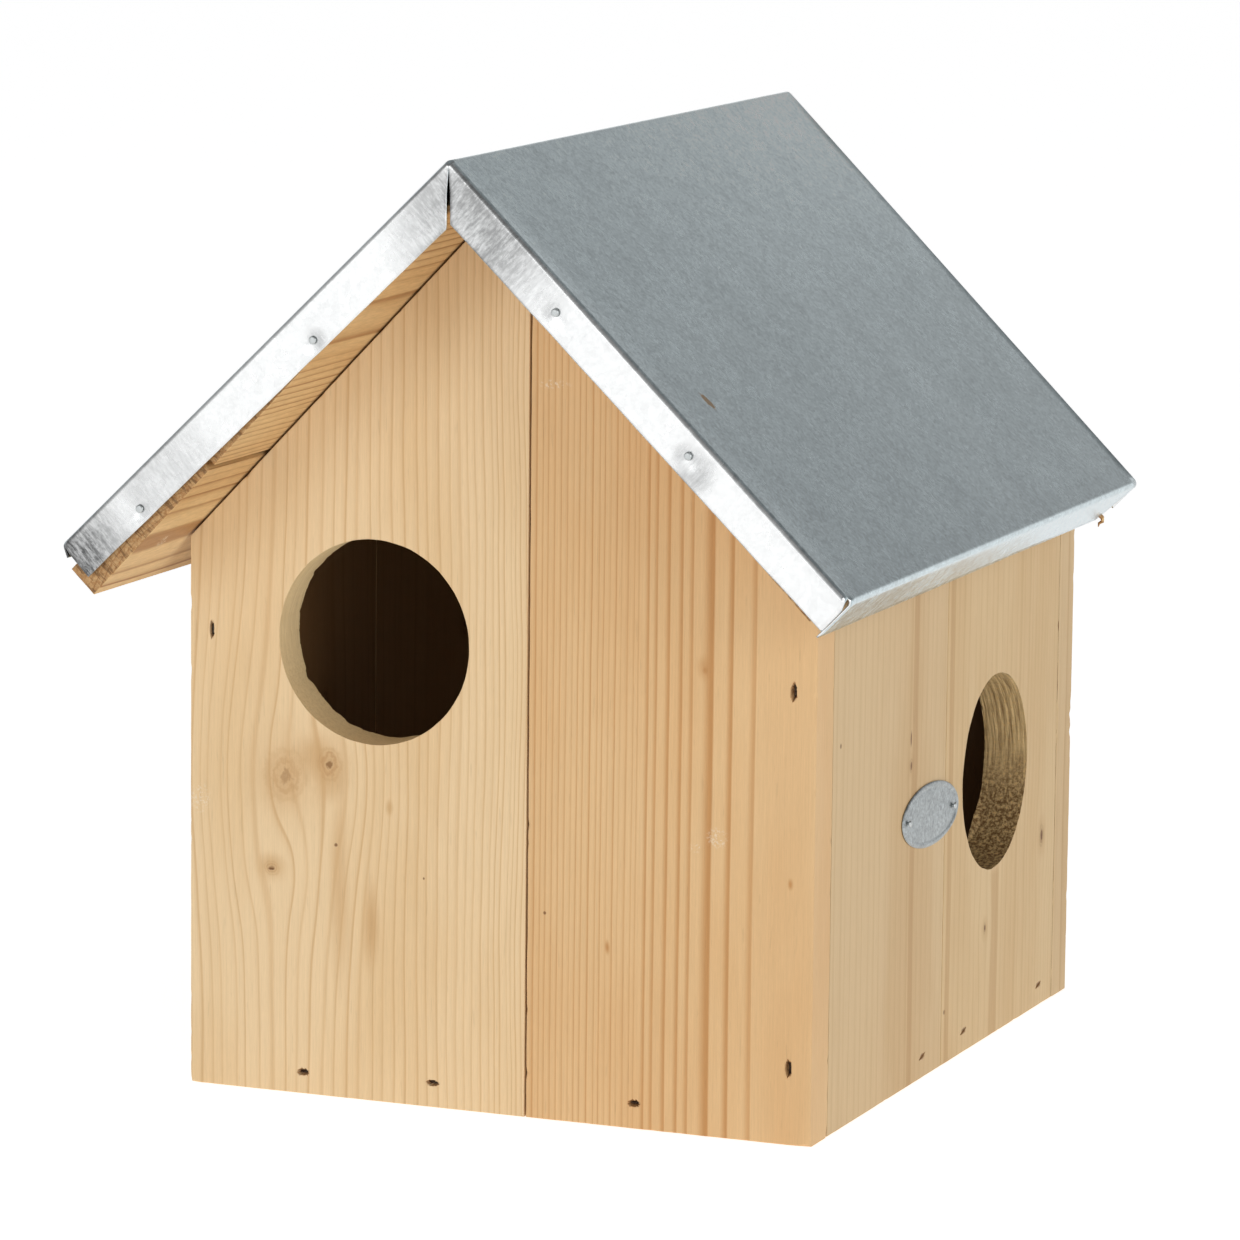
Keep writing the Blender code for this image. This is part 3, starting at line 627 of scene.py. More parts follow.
def board(name, loops, place, material, seed, thickness=BOARD, wear=0.45, body="box", pits=(),
          back_tear=0.0, step=2.5, chips=(), bites=()):
    """A board cut to its outline, with worn edges and sunk pits in its front face.

    loops are the outline, anticlockwise, then its holes, clockwise. place(a, b, t) turns face
    coordinates and a depth into a point. thickness is a number, or a function of (a, b). chips are
    worn out of the outer edges, and bites (a, b, reach, depth) are torn out of a hole's inner rim.
    """
    build = bmesh.new()
    front = []
    back = []
    for number, loop in enumerate(dense(loop, step) for loop in loops):
        rings = [[] for _ in range(6)]
        flat = []
        for (a, b), normal in zip(loop, inward_normals(loop)):
            total = thickness(a, b) if callable(thickness) else thickness
            tear = 0.0
            if number:
                worn = 0.25 * edge_wear(a, b, seed, wear)
                tail = 0.1
                if back_tear:
                    tear = wobble(a, b, seed + 3.0, 2.6) + max(0.0, wobble(a, b, seed + 4.0, 1.1))
                    tear *= back_tear
                    for at_a, at_b, reach, bite in bites:
                        tear += bite * math.exp(-(math.hypot(a - at_a, b - at_b) / reach) ** 2)
            else:
                worn = edge_wear(a, b, seed, wear, chips)
                tail = edge_wear(a, b, seed + 20.0, wear, chips)
            profile = ((worn, 0.0), (worn * 0.3, worn * 0.25), (0.0, worn),
                       (tear * 0.25, total - tail - 1.2 * abs(tear)),
                       (tear + tail * 0.3, total - tail * 0.25), (tear + tail, total))
            for ring, (inset, level) in zip(rings, profile):
                ring.append(build.verts.new(place(a + normal.x * inset, b + normal.y * inset, level)))
            flat.append(Vector((a + normal.x * worn, b + normal.y * worn, 0.0)))
        join_rings(build, rings)
        front.append((flat, rings[0]))
        back.append((flat, rings[-1]))
    for loop, level in pits:
        front.append(([Vector((a, b, 0.0)) for a, b in loop], pit(build, loop, level, place, seed)))
    for parts in (front, back):
        verts = [vert for _, ring in parts for vert in ring]
        for triangle in tessellate_polygon([flat for flat, _ in parts]):
            build.faces.new([verts[index] for index in triangle])
    return finish(name, to_mesh(name, build), material, name.replace("wood_", ""), body)


def rectangle(a_low, b_low, a_high, b_high):
    """A rectangle's outline, anticlockwise."""
    return [(a_low, b_low), (a_high, b_low), (a_high, b_high), (a_low, b_high)]


def circle(centre_a, centre_b, radius, seed, rough=0.12):
    """A hole's outline, clockwise, cut a little unevenly."""
    result = []
    for index in range(HOLE_POINTS):
        angle = -2 * math.pi * index / HOLE_POINTS
        a, b = math.cos(angle), math.sin(angle)
        out = radius + rough * wobble(a * radius, b * radius, seed, 6.0)
        out += rough * 0.5 * wobble(a * radius, b * radius, seed + 1, 1.6)
        result.append((centre_a + a * out, centre_b + b * out))
    return result


def gouge(a, b, half_length, half_width, upright, seed):
    """The ragged outline of a driven staple's mark."""
    result = []
    for index in range(GOUGE_POINTS):
        angle = -2 * math.pi * index / GOUGE_POINTS
        long_part = half_length * math.copysign(abs(math.cos(angle)) ** 0.8, math.cos(angle))
        wide_part = half_width * math.copysign(abs(math.sin(angle)) ** 0.9, math.sin(angle))
        long_part *= 1.0 + 0.5 * wobble(index * 1.3, seed, 1.0)
        wide_part *= 1.0 + 0.9 * wobble(index * 1.1, seed, 5.0)
        result.append((a + wide_part, b + long_part) if upright else (a + long_part, b - wide_part))
    return result if upright else result[::-1]


def gouges(marks, seed, depth):
    """A board's pits, from (a, b, half length, half width, upright) for each mark."""
    return [(gouge(*mark, index + seed), depth) for index, mark in enumerate(marks)]


def on_front(a, b, t):
    return Vector((a, FRONT_Y + t, b)) * MM


def on_back(a, b, t):
    return Vector((a, BACK_Y - t, b)) * MM


def on_right(a, b, t):
    return Vector((HALF_WIDTH - t, a, b)) * MM


def on_left(a, b, t):
    return Vector((t - HALF_WIDTH, a, b)) * MM


def gable_loop(x_from, x_to):
    """Outline of a gable board."""
    tops = [x_to, 0.0, x_from] if x_from < 0.0 < x_to else [x_to, x_from]
    return [(x_from, 0.0), (x_to, 0.0)] + [(x, soffit_height(x)) for x in tops]


# Walls, floor and door

PALE = (srgb(228, 200, 158), srgb(222, 191, 146), srgb(196, 156, 106), srgb(182, 140, 92))
WARM = (srgb(220, 184, 136), srgb(216, 176, 126), srgb(190, 140, 86), srgb(156, 110, 62))
SIDE = (srgb(209, 181, 139), srgb(202, 171, 127), srgb(180, 142, 95), srgb(138, 106, 70))
ROOF = (srgb(219, 186, 135), srgb(208, 170, 118), srgb(160, 112, 64), srgb(128, 86, 46))
FRONT_CUT = (srgb(250, 226, 180), srgb(236, 208, 158), srgb(220, 190, 138), 0.15, 0.8)
SIDE_CUT = (srgb(244, 212, 154), srgb(208, 168, 108), srgb(112, 80, 42), 0.95, 9.0)
HALF_SEAM = 0.25
FRONT_PIT = 2.6
HIDDEN_PIT = 2.0
SIDE_PIT = 1.6
DOOR_GAP = 1.8
# (a, b, half length, half width, upright) of each sunk staple's mark
FRONT_MARKS = {
    "left": [(-81.4, 8.5, 2.4, 1.4, False), (-26.3, 9.6, 2.5, 1.2, False), (-120.8, 180.9, 3.3, 1.0, True)],
    "right": [(57.8, 9.9, 2.4, 1.4, False), (120.75, 174.2, 3.5, 1.3, True), (120.75, 29.9, 3.4, 1.3, True)],
}
BACK_MARKS = {
    "left": [(-84.0, 9.25, 3.6, 1.4, False), (-120.8, 180.9, 3.6, 1.4, True)],
    "right": [(22.0, 9.25, 3.6, 1.4, False), (82.0, 9.25, 3.6, 1.4, False), (120.75, 174.2, 3.6, 1.4, True),
              (120.75, 29.9, 3.6, 1.4, True)],
}


def front_wall():
    """The front gable, its left board with the round entrance."""
    # Painted shade: a dark spot laid over each staple's pit
    painted_pit_shade = {side: tuple((a, b, wide, long) if upright else (a, b, long, wide)
                         for a, b, long, wide, upright in marks)
             for side, marks in FRONT_MARKS.items()}
    left = wood(
        "spruce_front_left", "front", PALE, (0.20, -40.0, 0.00011, 400.0, 0.35, 1.0), 3.0, line=0.72,
        wave=(2.2, 0.6), hole=FRONT_HOLE + FRONT_CUT, face=FRONT_Y, scuffs=((-125.9, 114.1, 5.0, 7.0),),
        knots=((-89.4, 125.7, 9.0, 11.0, 0.56, 0.62, 30.0), (-70.2, 131.5, 5.2, 7.0, 0.90, 0.45, 19.0),
               (-95.0, 88.7, 3.4, 2.8, 0.70, 0.45, 12.0)),
        spots=((-67.6, 100.1, 0.8, 0.7), (-30.4, 90.0, 0.4, 0.5), (-95.2, 88.3, 1.3, 0.5)) + painted_pit_shade["left"],
        stains=((-66.0, 84.0, 4.5, 44.0, 0.55), (-53.0, 70.0, 4.0, 19.0, 0.75), (-44.8, 116.6, 1.6, 3.5, 0.7),
                (-78.0, 134.0, 10.0, 9.0, 0.5), (-95.0, 90.0, 6.0, 5.0, 0.5),
                (-90.0, 124.0, 11.0, 13.0, 0.45), (-70.0, 127.0, 6.0, 10.0, 0.5)))
    right = wood(
        "spruce_front_right", "front", WARM, (0.40, 20.0, 0.0, 60.0, 0.12, 0.85), 11.0, wave=(0.5, 0.12),
        face=FRONT_Y, spots=((20.3, 81.0, 0.7, 0.8),) + painted_pit_shade["right"],
        lines=((61.6, 0.5, 0.8), (65.0, 0.5, 0.75), (70.0, 0.6, 0.85), (75.2, 0.6, 0.85), (79.5, 0.6, 0.75),
               (87.3, 1.3, 1.0), (95.6, 0.8, 0.9), (104.8, 0.8, 0.65)),
        stains=((85.2, 181.0, 3.5, 5.0, 0.6), (85.2, 180.0, 1.2, 1.5, 1.0), (46.5, 69.9, 1.2, 3.0, 1.0),
                (121.3, 100.8, 1.0, 2.4, 1.0), (118.0, 120.0, 16.0, 160.0, 0.12)),
        scuffs=((90.8, 116.1, 5.0, 4.5), (81.8, 111.5, 3.0, 2.0), (22.0, 285.0, 8.0, 2.0)))
    seam_left = corners("front_board_left")[1].x - HALF_SEAM
    seam_right = corners("front_board_right")[0].x + HALF_SEAM
    board("wood_front_board_left", [gable_loop(-HALF_WIDTH, seam_left), circle(*FRONT_HOLE, 2.0)], on_front,
          left, 1.0, pits=gouges(FRONT_MARKS["left"], 3.0, FRONT_PIT), back_tear=0.36,
          chips=((-130.0, 0.0, 2.2, 1.5),),
          bites=((-85.0, 204.0, 1.7, 1.3), (-87.2, 162.5, 2.4, 1.6), (-50.0, 220.6, 1.5, -1.6),
                 (-46.0, 220.2, 1.2, -0.9), (-70.0, 145.0, 2.0, 0.7), (-90.9, 188.0, 1.4, 0.6)))
    board("wood_front_board_right", [gable_loop(seam_right, HALF_WIDTH)], on_front, right, 2.0,
          pits=gouges(FRONT_MARKS["right"], 3.0, FRONT_PIT), wear=0.6, chips=((130.0, 0.0, 4.5, 1.6),))


def back_wall():
    """The back gable, its right board chipped where it shows beside the right wall."""
    left = wood("spruce_back_left", "back", SIDE, ((-60.0, -190.0), (0.06, 0.0009)), 21.0, line=0.6,
                wave=(2.6, 0.5), knots=((-64.0, 210.0, 5.0, 6.5, 0.9, 0.5, 20.0),))
    right = wood("spruce_back_right", "back", SIDE, ((70.0, -195.0), (0.05, 0.0010)), 27.0, line=0.65,
                 wave=(2.0, 0.4), spots=((104.0, 150.0, 1.0, 2.4),),
                 knots=((84.0, 96.0, 6.0, 7.0, 0.8, 0.5, 22.0), (30.0, 262.0, 3.0, 4.0, 0.9, 0.5, 12.0)))
    board("wood_back_board_left", [gable_loop(-HALF_WIDTH, corners("back_board_left")[1].x)], on_back, left,
          4.0, pits=gouges(BACK_MARKS["left"], 13.0, HIDDEN_PIT))
    board("wood_back_board_right", [gable_loop(corners("back_board_right")[0].x, HALF_WIDTH)], on_back, right,
          5.0, pits=gouges(BACK_MARKS["right"], 13.0, HIDDEN_PIT), wear=0.55,
          chips=((130.0, 123.0, 1.8, 1.6), (130.0, 117.0, 2.4, 2.2), (130.0, 110.0, 1.6, 1.8),
                 (130.0, 40.0, 1.5, 0.9)))


def right_wall():
    """The fixed side wall, its rear board with the second entrance."""
    front = wood("spruce_side_front", "right", SIDE, (0.16, -60.0, 0.00001, 400.0, 0.3, 0.8), 33.0, line=0.45,
                 wave=(1.6, 0.3), knots=((-45.8, 129.0, 2.0, 2.8, 0.8, 0.5, 8.0),),
                 # The spot at height 8.7 is painted shade in the staple slot
                 spots=((-46.4, 140.0, 0.9, 3.0), (-126.0, 150.0, 0.9, 1.1), (-27.0, 8.7, 2.6, 1.2),
                        (-45.8, 129.0, 0.8, 1.6)),
                 bands=((-43.0, 3.2, 300.0),), face=-HALF_WIDTH)
    rear = wood("spruce_side_rear", "right", scaled(SIDE, (1.05, 1.06, 1.05)),
                (0.15, 40.0, 0.00002, 400.0, 0.3, 0.8), 39.0, line=0.45, wave=(1.6, 0.3),
                knots=((117.2, 71.8, 2.9, 4.6, 1.0, 0.5, 12.0), (46.8, 46.0, 1.9, 2.6, 0.9, 0.5, 8.0)),
                # The spots at height 8.7 are painted shade in the staple slots
                spots=((-1.4, 21.3, 1.1, 1.0), (64.0, 140.0, 0.6, 1.0), (22.7, 8.7, 2.6, 1.2),
                       (117.0, 8.7, 2.6, 1.2), (117.2, 72.4, 1.3, 2.6), (46.8, 46.4, 0.9, 1.4)),
                bands=((59.0, 5.2, 66.0), (1.5, 3.0, 300.0)), hole=SIDE_HOLE + SIDE_CUT, face=-HALF_WIDTH)
    top = soffit_height(HALF_WIDTH)
    for name, material, seed, holes, marks, inset in (
            ("right_wall_front_board", front, 6.0, [], [(-27.0, 8.7)], 0.0),
            ("right_wall_rear_board", rear, 7.0, [circle(*SIDE_HOLE, 9.0, rough=0.25)],
             [(22.7, 8.7), (117.0, 8.7)], 0.2)):
        low, high = corners(name)
        slots = [([(a + (p - a) * 0.97 - (q - b) * 0.26, b + (q - b) * 0.97 + (p - a) * 0.26)
                   for p, q in gouge(a, b, 3.6, 0.6, False, a)], SIDE_PIT) for a, b in marks]
        obj = board("wood_" + name, [rectangle(low.y + inset, 0.0, high.y, top)] + holes, on_right, material,
                    seed, pits=slots, back_tear=0.5,
                    bites=((84.0, 82.0, 9.0, -2.6), (17.0, 118.0, 1.6, 0.9)))
        bevel_top(obj, 1)


def bevel_top(obj, side):
    """Slope a side board's top to the soffit, inner edge higher."""
    outer = HALF_WIDTH * MM
    limit = (soffit_height(side * HALF_WIDTH) - 3.0) * MM
    for vert in obj.data.vertices:
        if vert.co.z > limit:
            vert.co.z += (outer - side * vert.co.x) * math.tan(SOFFIT_PITCH[side])


def floor_boards():
    """The two floor boards, laid side to side."""
    for name, seed, pith in (("floor_front_board", 8.0, (-60.0, -40.0)),
                             ("floor_rear_board", 9.0, (80.0, -50.0))):
        low, high = corners(name)
        material = wood("spruce_" + name, "floor", SIDE, (pith, (0.08, 0.001)), seed * 5, line=0.55,
                        inner=1.0)
        board("wood_" + name, [rectangle(low.x, low.y, high.x, high.y)],
              lambda a, b, t: Vector((a, b, t)) * MM, material, seed, thickness=high.z)


def door():
    """The left wall that swings: two boards on two battens."""
    battens = ["door_batten_lower", "door_batten_upper"]
    heights = [(corners(name)[0].z + corners(name)[1].z) / 2 for name in battens]
    top = soffit_height(-HALF_WIDTH, DOOR_GAP)
    # The fourth value is the brightness of painted shade on each board's inner face
    for name, seed, pith, inner, mark in (("door_front_board", 10.0, (-80.0, -190.0), 0.82, -70.0),
                                          ("door_rear_board", 12.0, (60.0, -200.0), 0.86, 74.0)):
        low, high = corners(name)
        material = wood("spruce_" + name, "left", SIDE, (pith, (0.07, 0.0011)), seed * 4, line=0.6,
                        wave=(2.4, 0.5), inner=inner,
                        knots=((pith[0] + 12.0, 90.0 + seed * 5, 4.5, 6.0, 0.85, 0.5, 18.0),))
        pits = [(gouge(mark, z, 4.4, 1.2, False, z), HIDDEN_PIT) for z in heights]
        obj = board("wood_" + name, [rectangle(low.y, low.z, high.y, top)], on_left, material,
                    seed, body="door", pits=pits)
        bevel_top(obj, -1)
    for name, seed in zip(battens, (14.0, 15.0)):
        low, high = corners(name)
        material = wood("spruce_" + name, "batten", SIDE, ((20.0, 30.0), (0.1, 0.001)), seed * 3, line=0.6,
                        rough_sawn=0.5)
        board("wood_" + name, [rectangle(low.y, low.z, high.y, high.z)],
              lambda a, b, t: Vector((high.x - t, a, b)) * MM, material, seed,
              thickness=high.x - low.x, wear=0.8, body="door")


# Roof

ROOF_INSET = 2.4
ROOF_SEAM = 141.7
ROOF_SEAM_HALF = 1.5
ROOF_ENDS = {-1: 214.0, 1: 204.0}
RIDGE_HALF_GAP = 0.15
RIDGE_FLAT = 1.9
# Where each board's tree had its middle, down the soffit and up from it
PITHS = {(-1, "upper"): (60.0, 60.0), (-1, "lower"): (185.0, -66.0), (1, "upper"): (95.0, -60.0),
         (1, "lower"): (190.0, 50.0)}
SPLINTER = ((143.0, 128.0, 212.5), (147.0, 129.5, 206.8), (149.2, 130.0, 204.6), (149.0, 131.0, 202.9),
            (147.4, 131.5, 202.0), (146.9, 132.0, 200.4))
SPLINTER_RADII = (1.4, 1.1, 0.9, 0.75, 0.6, 0.15)


def roof_section(side, level):
    """A roof board's cross-section, down the soffit and up from it."""
    sin = math.sin(SOFFIT_PITCH[side])
    cos = math.cos(SOFFIT_PITCH[side])
    if level == "lower":
        return rectangle(ROOF_SEAM + ROOF_SEAM_HALF, 0.0, ROOF_ENDS[side], ROOF_BOARD)
    middle = (RIDGE_HALF_GAP * cos - RIDGE_FLAT * sin, RIDGE_HALF_GAP * sin + RIDGE_FLAT * cos)
    top = (ROOF_BOARD * cos - RIDGE_FLAT) / sin
    return [(RIDGE_HALF_GAP / cos, 0.0), (ROOF_SEAM - ROOF_SEAM_HALF, 0.0),
            (ROOF_SEAM - ROOF_SEAM_HALF, ROOF_BOARD), (top, ROOF_BOARD), middle]


def roof_boards():
    """Four rough-sawn boards under the sheet, their ends shown below its flanges."""
    front = ROOF_FRONT_Y + ROOF_INSET
    for number, ((side, level), pith) in enumerate(PITHS.items()):
        name = "roof_%s_%s_board" % ("left" if side < 0 else "right", level)
        shift = (-SOFFIT_APEX * math.sin(SOFFIT_PITCH[side]), SOFFIT_APEX * math.cos(SOFFIT_PITCH[side]))
        scuffs = ((188.0 + shift[0], -177.0, 4.0, 4.5),) if (side, level) == (-1, "lower") else ()
        material = wood("spruce_" + name, "left_slope" if side < 0 else "right_slope", ROOF,
                        ((pith[0] + shift[0], pith[1] + shift[1]), (0.30, 0.0009)), 48.0 + 3.0 * number,
                        rough_sawn=1.0, inner=1.0, scuffs=scuffs)

        def place(a, b, t):
            x, z = board_point(side, a, b)
            return Vector((x, front + t, z)) * MM

        def length(a, b):
            x, z = board_point(side, a, b)
            down_sheet = abs(x) * COS + (RIDGE_HEIGHT - z) * SIN
            return roof_back(down_sheet) - ROOF_INSET - front

        board("wood_" + name, [roof_section(side, level)], place, material, 16.0 + number,
              thickness=length, wear=0.7, step=1.5)
        if (side, level) == (1, "lower"):
            tube("wood_splinter", [Vector(point) for point in SPLINTER], SPLINTER_RADII, material, None,
                 segments=7)


BEND = 2.3
BEND_STEPS = 7
FLANGE_STEPS = 12
LIP_STEPS = 8
SLOPE_STEPS = 112
RIDGE_STEPS = 10
COLUMNS = 72
# Depth of each slope's flange at the ridge and at the eave
FRONT_FLANGE = {-1: (18.7, 16.7), 1: (17.4, 16.2)}
BACK_FLANGE = {-1: (14.2, 16.7), 1: (14.2, 16.2)}
# Angle turned at each eave, length of the lip and how much it is cut back at its rear end
LIPS = {-1: (math.radians(65.0), 5.5, 3.0), 1: (math.radians(90.0), 19.5, 14.0)}
SLIT = 1.5
EAVE_TRIM = 0.5
GUSSET_INSET = 0.3
GUSSET_DROP = 2.6
PAINTED_NAIL_SHADE = (6.5, 0.34)
SHEET = 0.7
RIDGE_RADIUS = 2.5
RIDGE_ALONG = RIDGE_RADIUS * math.tan(PITCH)
# Nails in the flanges, along the slope and below it
DENTS = {-1: ((89.0, 12.6), (188.6, 11.7)), 1: ((69.4, 9.8), (142.6, 8.8))}
# (x, z, reach, strength) of places on the flanges made rougher and painted darker, as painted
# dark reflections. PAINTED_NAIL_SHADE is the last two at a nail
PAINTED_FLANGE_SHADE = ((14.0, 354.0, 54.0, 0.70), (-6.0, 362.0, 30.0, 0.45), (-157.0, 211.0, 40.0, 0.92),
          (-118.0, 248.0, 36.0, 0.30), (99.0, 262.0, 12.0, 0.45))


def flange_shift(side, along, below, outward):
    """How far a flange lies in from its plane: waves, with a dimple at each nail."""
    wave = 0.16 * (1.0 + wobble(along, below, side * 3.0 + outward, 17.0))
    wave += 0.10 * (1.0 + wobble(along, below * 0.5, side * 5.0 + outward, 7.0))
    for place, depth in DENTS[side]:
        away = math.hypot(along - place, (below - depth) * 1.1)
        wave += 0.75 * math.exp(-(away / 4.2) ** 2)
    return wave * min(1.0, below / 5.0)


def slope_shift(side, along, y):
    """How far a slope lies below its plane: long, shallow waves."""
    edge = min(1.0, along / 25.0, (SLOPE_LENGTH - along) / 12.0, (y - ROOF_FRONT_Y) / 12.0)
    wave = 0.30 * (1.0 + wobble(along, y, side * 2.0, 95.0))
    wave += 0.10 * (1.0 + wobble(along, y, side + 9.0, 33.0))
    return wave * max(0.0, edge)


def span(y_back, column):
    """Y of one column of the sheet's points, between its front and rear bends."""
    front = ROOF_FRONT_Y + BEND
    return front + (y_back - BEND - front) * column / COLUMNS


def slope_rows(build, side):
    """One slope with its eave's bend and lip: rows of vertices, and the slope's own distances along."""
    turn, lip, mitre = LIPS[side]
    tangent = BEND * math.tan(turn / 2)
    last = SLOPE_LENGTH - tangent
    alongs = [RIDGE_ALONG + (last - RIDGE_ALONG) * i / SLOPE_STEPS for i in range(SLOPE_STEPS + 1)]
    places = [(along, 0.0, 0.0) for along in alongs]
    for step in range(1, BEND_STEPS + 1):
        angle = turn * step / BEND_STEPS
        places.append((last + BEND * math.sin(angle), BEND * (1 - math.cos(angle)), 0.0))
    bend_along, bend_below, _ = places[-1]
    for step in range(1, LIP_STEPS + 1):
        reach = (lip - tangent) * step / LIP_STEPS
        places.append((bend_along + reach * math.cos(turn), bend_below + reach * math.sin(turn),
                       mitre * step / LIP_STEPS))
    rows = []
    for along, below, short in places:
        row = []
        for column in range(COLUMNS + 1):
            y = span(roof_back(along) - short, column)
            sag = below if below > 0 else slope_shift(side, along, y)
            sway = 0.0
            if below > BEND:
                sway = abs(0.35 * wobble(y, 0.0, side * 7.0, 60.0) * (below - BEND) / lip)
            x, z = slope_point(side, along - sway, sag)
            row.append(build.verts.new(Vector((x, y, z)) * MM))
        rows.append(row)
    return rows, alongs


def flange(build, side, outward, above, alongs):
    """The folded end of one slope, below the vertices above. Returns its edge at the ridge."""
    edge = [above[0]]
    last = alongs[-1]
    quarter = math.pi / 2 / BEND_STEPS
    bends = [BEND * (1 - math.cos(quarter * step)) for step in range(1, BEND_STEPS + 1)]
    drops = [step / FLANGE_STEPS for step in range(1, FLANGE_STEPS + 1)]
    ridge_depth, eave_depth = (FRONT_FLANGE if outward < 0 else BACK_FLANGE)[side]
    for number, mark in enumerate(bends + drops):
        lower = []
        for along in alongs:
            share = (along - RIDGE_ALONG) / (last - RIDGE_ALONG)
            level = mark
            if number >= BEND_STEPS:
                level = BEND + (ridge_depth + (eave_depth - ridge_depth) * share - BEND) * mark
            opening = SLIT / 2 * min(1.0, max(0.0, (level - 3.0) / 6.0))
            inner = RIDGE_ALONG
            if level > BEND:
                inner = max(inner, (opening + level * SIN) / COS)
            outer = last + (SLOPE_LENGTH - EAVE_TRIM - last) * min(1.0, level / 5.0)
            at = inner + (outer - inner) * share
            face = ROOF_FRONT_Y if outward < 0 else roof_back(at)
            if number < BEND_STEPS:
                back_off = BEND * (1 - math.sin(quarter * (number + 1)))
            else:
                back_off = flange_shift(side, at, level, outward)
            drop = level
            if mark == drops[-1]:
                drop += 0.25 * wobble(at, 0.0, side + outward * 4.0, 22.0) - 0.2
            x, z = slope_point(side, at, drop)
            lower.append(build.verts.new(Vector((x, face - outward * back_off, z)) * MM))
        for index in range(len(above) - 1):
            build.faces.new((above[index], above[index + 1], lower[index + 1], lower[index]))
        edge.append(lower[0])
        above = lower
    return edge


def sheet():
    """The folded roof sheet: slopes, ridge, lips and flanges, as one skin with thickness."""
    build = bmesh.new()
    rows = {}
    alongs = {}
    for side in (-1, 1):
        rows[side], alongs[side] = slope_rows(build, side)
    arc = []
    centre = RIDGE_HEIGHT - RIDGE_RADIUS / COS
    for step in range(1, RIDGE_STEPS):
        angle = PITCH * (2 * step / RIDGE_STEPS - 1)
        x, z = RIDGE_RADIUS * math.sin(angle), centre + RIDGE_RADIUS * math.cos(angle)
        arc.append([build.verts.new(Vector((x, span(RIDGE_BACK_Y, c), z)) * MM) for c in range(COLUMNS + 1)])
    skin = rows[-1][::-1] + arc + rows[1]
    for near, far in zip(skin, skin[1:]):
        for column in range(COLUMNS):
            build.faces.new((near[column], far[column], far[column + 1], near[column + 1]))
    edges = {}
    for side in (-1, 1):
        for outward, column in ((-1, 0), (1, COLUMNS)):
            above = [row[column] for row in rows[side][:SLOPE_STEPS + 1]]
            edges[side, outward] = flange(build, side, outward, above, alongs[side])
    # A small gusset closes the sheet's corner at each end of the ridge
    for outward, column, face in ((-1, 0, ROOF_FRONT_Y), (1, COLUMNS, RIDGE_BACK_Y)):
        loop = edges[-1, outward][BEND_STEPS + 1::-1] + [row[column] for row in arc]
        loop += edges[1, outward][:BEND_STEPS + 2]
        tip = Vector((0.0, face - outward * GUSSET_INSET, RIDGE_HEIGHT - GUSSET_DROP))
        middle = build.verts.new(tip * MM)
        for near, far in zip(loop, loop[1:]):
            build.faces.new((near, far, middle))
    mesh = to_mesh("zinc_roof_sheet", build)
    x, z = slope_point(1, SLOPE_LENGTH / 2, 0.0)
    middle = min(mesh.polygons, key=lambda face: (face.center - Vector((x, 0.0, z)) * MM).length)
    if middle.normal.z < 0:
        mesh.flip_normals()
    painted_dark_places = list(PAINTED_FLANGE_SHADE)
    # Painted shade beside each nail's dimple, a little up the slope and lower on the flange, for its dark
    # reflection
    for side, places in DENTS.items():
        for along, below in places:
            x, z = slope_point(side, along - 1.5, below + 1.0)
            painted_dark_places.append((x, z) + PAINTED_NAIL_SHADE)
    # The second tone is the flanges' painted lit copy, brighter and less blue than the slopes'
    material = galvanised("galvanised_sheet", (0.70, 0.80, 0.83, 1.0), 0.17, 0.23, (0.82, 0.83, 0.83, 1.0),
                          painted_dark_places, specks=((40.4, -198.5, 3.4, 2.2),))
    obj = finish("zinc_roof_sheet", mesh, material, "roof_sheet", "box", smooth=True)
    thicken = obj.modifiers.new("thickness", "SOLIDIFY")
    thicken.thickness = SHEET * MM
    thicken.offset = -1.0
    thicken.use_even_offset = False


# Fasteners and fittings

WIRE = 0.55
HALF_CROWN = 4.5
STAPLE_TILT = math.radians(15.0)
ROOF_STAPLE = 30.0
# Each kind's way along its crown, and into the wood
STAPLES = {
    "staple_front_floor": ((1, 0, 0), (0, 1, 0)),
    "staple_front_edge": ((0, 0, 1), (0, 1, 0)),
    "staple_back_floor": ((1, 0, 0), (0, -1, 0)),
    "staple_back_edge": ((0, 0, 1), (0, -1, 0)),
    "staple_side_floor": ((0, math.cos(STAPLE_TILT), math.sin(STAPLE_TILT)), (-1, 0, 0)),
    "staple_roof_left": (slope_axes(-1)[0], -Vector(slope_axes(-1)[1])),
    "staple_roof_right": (slope_axes(1)[0], -Vector(slope_axes(1)[1])),
    "staple_door": ((0, 1, 0), (1, 0, 0)),
}
# (distance from the seat, radius) of each kind of nail
SHEET_NAIL = ((0.0, 0.5), (0.05, 0.95), (0.16, 1.3), (0.34, 1.5), (0.6, 1.55), (0.8, 1.4), (0.95, 0.9),
              (13.0, 0.9), (14.8, 0.2))
TAG_NAIL = ((0.0, 0.3), (0.1, 0.85), (0.35, 1.2), (0.7, 1.3), (0.9, 1.2), (0.95, 0.6), (7.6, 0.6),
            (8.9, 0.15))
PIVOT_NAIL = ((0.0, 1.9), (0.15, 2.3), (0.8, 2.3), (1.0, 1.5), (33.5, 1.5), (36.3, 0.3))
NAIL_SEGMENTS = 24
SHEET_NAIL_SINK = 0.95
PIVOT_NAIL_SINK = 1.3


def ring(build, centre, side, other, radius, segments):
    """A round ring of vertices, side and other its two axes."""
    angles = [2 * math.pi * s / segments for s in range(segments)]
    return [build.verts.new((centre + (side * math.cos(angle) + other * math.sin(angle)) * radius) * MM)
            for angle in angles]


